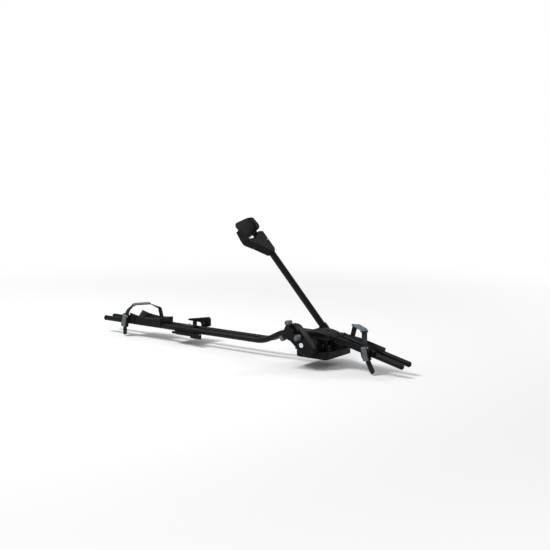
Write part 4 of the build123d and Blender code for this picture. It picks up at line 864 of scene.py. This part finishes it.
def round_edges(node, radius):
    """A copy of a soft solid with merged corners and rounded edges takes its place."""
    mesh = frame["nodes"][node].data.copy()
    shape = bmesh.new()
    shape.from_mesh(mesh)
    bmesh.ops.remove_doubles(shape, verts=shape.verts, dist=merge_reach)
    bmesh.ops.dissolve_limit(shape, angle_limit=flat_turn, verts=shape.verts, edges=shape.edges)
    bmesh.ops.recalc_face_normals(shape, faces=shape.faces)
    shape.to_mesh(mesh)
    shape.free()
    mesh.materials.clear()
    mesh.materials.append(finishes[slot_of_node[node]])
    piece = bpy.data.objects.new(f"soft_{node}", mesh)
    bpy.context.scene.collection.objects.link(piece)
    rim = piece.modifiers.new("rim", "BEVEL")
    rim.width = radius
    rim.segments = rim_segments
    rim.limit_method = "ANGLE"
    rim.angle_limit = sharp_turn
    hand_over(piece, node)


for node, radius in pad_rims.items():
    round_edges(node, radius)
print("pads", len(pad_rims))

# %% [markdown]
# ## Ridges on the knob's grips
# Fingers push on the end of each lobe, so the grip has ridges there, along the knob's axis. They could
# be modelled one by one and copied. Geometry Nodes suit them better: one stretched ball goes on each
# point, and its length and radius stay inputs that can be changed. The export drops instances, so the
# tree ends by making them real and giving them their material.

# %% The ridge maker
ball_segments = 12
ball_rings = 10


def make_ridge_group():
    """Node group: a ridge on every point, with its length, radius and material as inputs."""
    group = bpy.data.node_groups.new("ridges", "GeometryNodeTree")
    face = group.interface
    face.new_socket("Geometry", in_out="INPUT", socket_type="NodeSocketGeometry")
    kinds = {"Length": "Float", "Radius": "Float", "Material": "Material"}
    sockets = {
        name: face.new_socket(name, in_out="INPUT", socket_type=f"NodeSocket{kind}").identifier
        for name, kind in kinds.items()
    }
    face.new_socket("Geometry", in_out="OUTPUT", socket_type="NodeSocketGeometry")
    nodes = group.nodes
    links = group.links
    source = nodes.new("NodeGroupInput")
    result = nodes.new("NodeGroupOutput")
    ball = nodes.new("GeometryNodeMeshUVSphere")
    ball.inputs["Segments"].default_value = ball_segments
    ball.inputs["Rings"].default_value = ball_rings
    ball.inputs["Radius"].default_value = 1
    half = nodes.new("ShaderNodeMath")
    half.operation = "MULTIPLY"
    half.inputs[1].default_value = 0.5
    links.new(source.outputs["Length"], half.inputs[0])
    stretch = nodes.new("ShaderNodeCombineXYZ")
    links.new(source.outputs["Radius"], stretch.inputs["X"])
    links.new(half.outputs["Value"], stretch.inputs["Y"])
    links.new(source.outputs["Radius"], stretch.inputs["Z"])
    spread = nodes.new("GeometryNodeInstanceOnPoints")
    links.new(source.outputs["Geometry"], spread.inputs["Points"])
    links.new(ball.outputs["Mesh"], spread.inputs["Instance"])
    links.new(stretch.outputs["Vector"], spread.inputs["Scale"])
    realize = nodes.new("GeometryNodeRealizeInstances")
    links.new(spread.outputs["Instances"], realize.inputs["Geometry"])
    coat = nodes.new("GeometryNodeSetMaterial")
    links.new(realize.outputs["Geometry"], coat.inputs["Geometry"])
    links.new(source.outputs["Material"], coat.inputs["Material"])
    links.new(coat.outputs["Geometry"], result.inputs["Geometry"])
    return group, sockets


ridge_group, ridge_sockets = make_ridge_group()
print("ridge group", len(ridge_group.nodes), "nodes")

# %% [markdown]
# ### From points to one mesh
# The maker is a helper object that holds only points and the node group. Its inputs are set by the
# sockets' identifiers before Blender evaluates it. The result is copied out as a plain mesh, and the
# helper is thrown away, because a finished piece should carry no tree with it.

# %% Points to ridges
def add_ridges(name, places, length, radius, node):
    """Ridges along Y at the given places, on the body of a node and in its finish."""
    points = bpy.data.meshes.new(f"{name}_places")
    points.from_pydata(places, [], [])
    maker = bpy.data.objects.new(f"{name}_maker", points)
    bpy.context.scene.collection.objects.link(maker)
    spread = maker.modifiers.new("ridges", "NODES")
    spread.node_group = ridge_group
    spread[ridge_sockets["Length"]] = length
    spread[ridge_sockets["Radius"]] = radius
    spread[ridge_sockets["Material"]] = finishes[slot_of_node[node]]
    maker.update_tag()
    graph = bpy.context.evaluated_depsgraph_get()
    mesh = bpy.data.meshes.new_from_object(maker.evaluated_get(graph))
    bpy.data.objects.remove(maker)
    piece = bpy.data.objects.new(name, mesh)
    bpy.context.scene.collection.objects.link(piece)
    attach(piece, body_of_node[node])
    return piece


print("helper: add_ridges")

# %% [markdown]
# ### Where the ridges sit
# The knob's axis runs across the tubes, through the middle of its cap. Its three lobes are counted from
# the arm's own direction, so the ridges are placed in that frame too. On the flat end of a lobe the
# reach grows with one over the cosine, which keeps all five ridges of a lobe in one plane.

# %% Ridges on the grips
arm_rise = radians(47.2)
knob_turn = radians(35)
lobes = 3
lobe_reach = 42.3 * mm
ridges_each = 5
ridge_step = radians(4.5)
ridge_length = 14 * mm
ridge_radius = 0.9 * mm

grip_low, grip_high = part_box("knob_grips")
grip_middle = (grip_low.y + grip_high.y) / 2
cap_low, cap_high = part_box("knob_cap")
knob_axis = Vector(((cap_low.x + cap_high.x) / 2, 0, (cap_low.z + cap_high.z) / 2))
along_arm = Vector((-cos(arm_rise), 0, sin(arm_rise)))
across_arm = Vector((sin(arm_rise), 0, cos(arm_rise)))
ridge_places = []
for lobe in range(lobes):
    for ridge in range(ridges_each):
        ridge_turn = ridge_step * (ridge - (ridges_each - 1) / 2)
        angle = knob_turn + 2 * pi * lobe / lobes + ridge_turn
        reach = lobe_reach / cos(ridge_turn)
        place = knob_axis + (along_arm * cos(angle) + across_arm * sin(angle)) * reach
        ridge_places.append((place.x, grip_middle, place.z))
ridges = add_ridges("grip_ridges", ridge_places, ridge_length, ridge_radius, "knob_grips")
print("ridges", len(ridge_places), "faces", len(ridges.data.polygons))
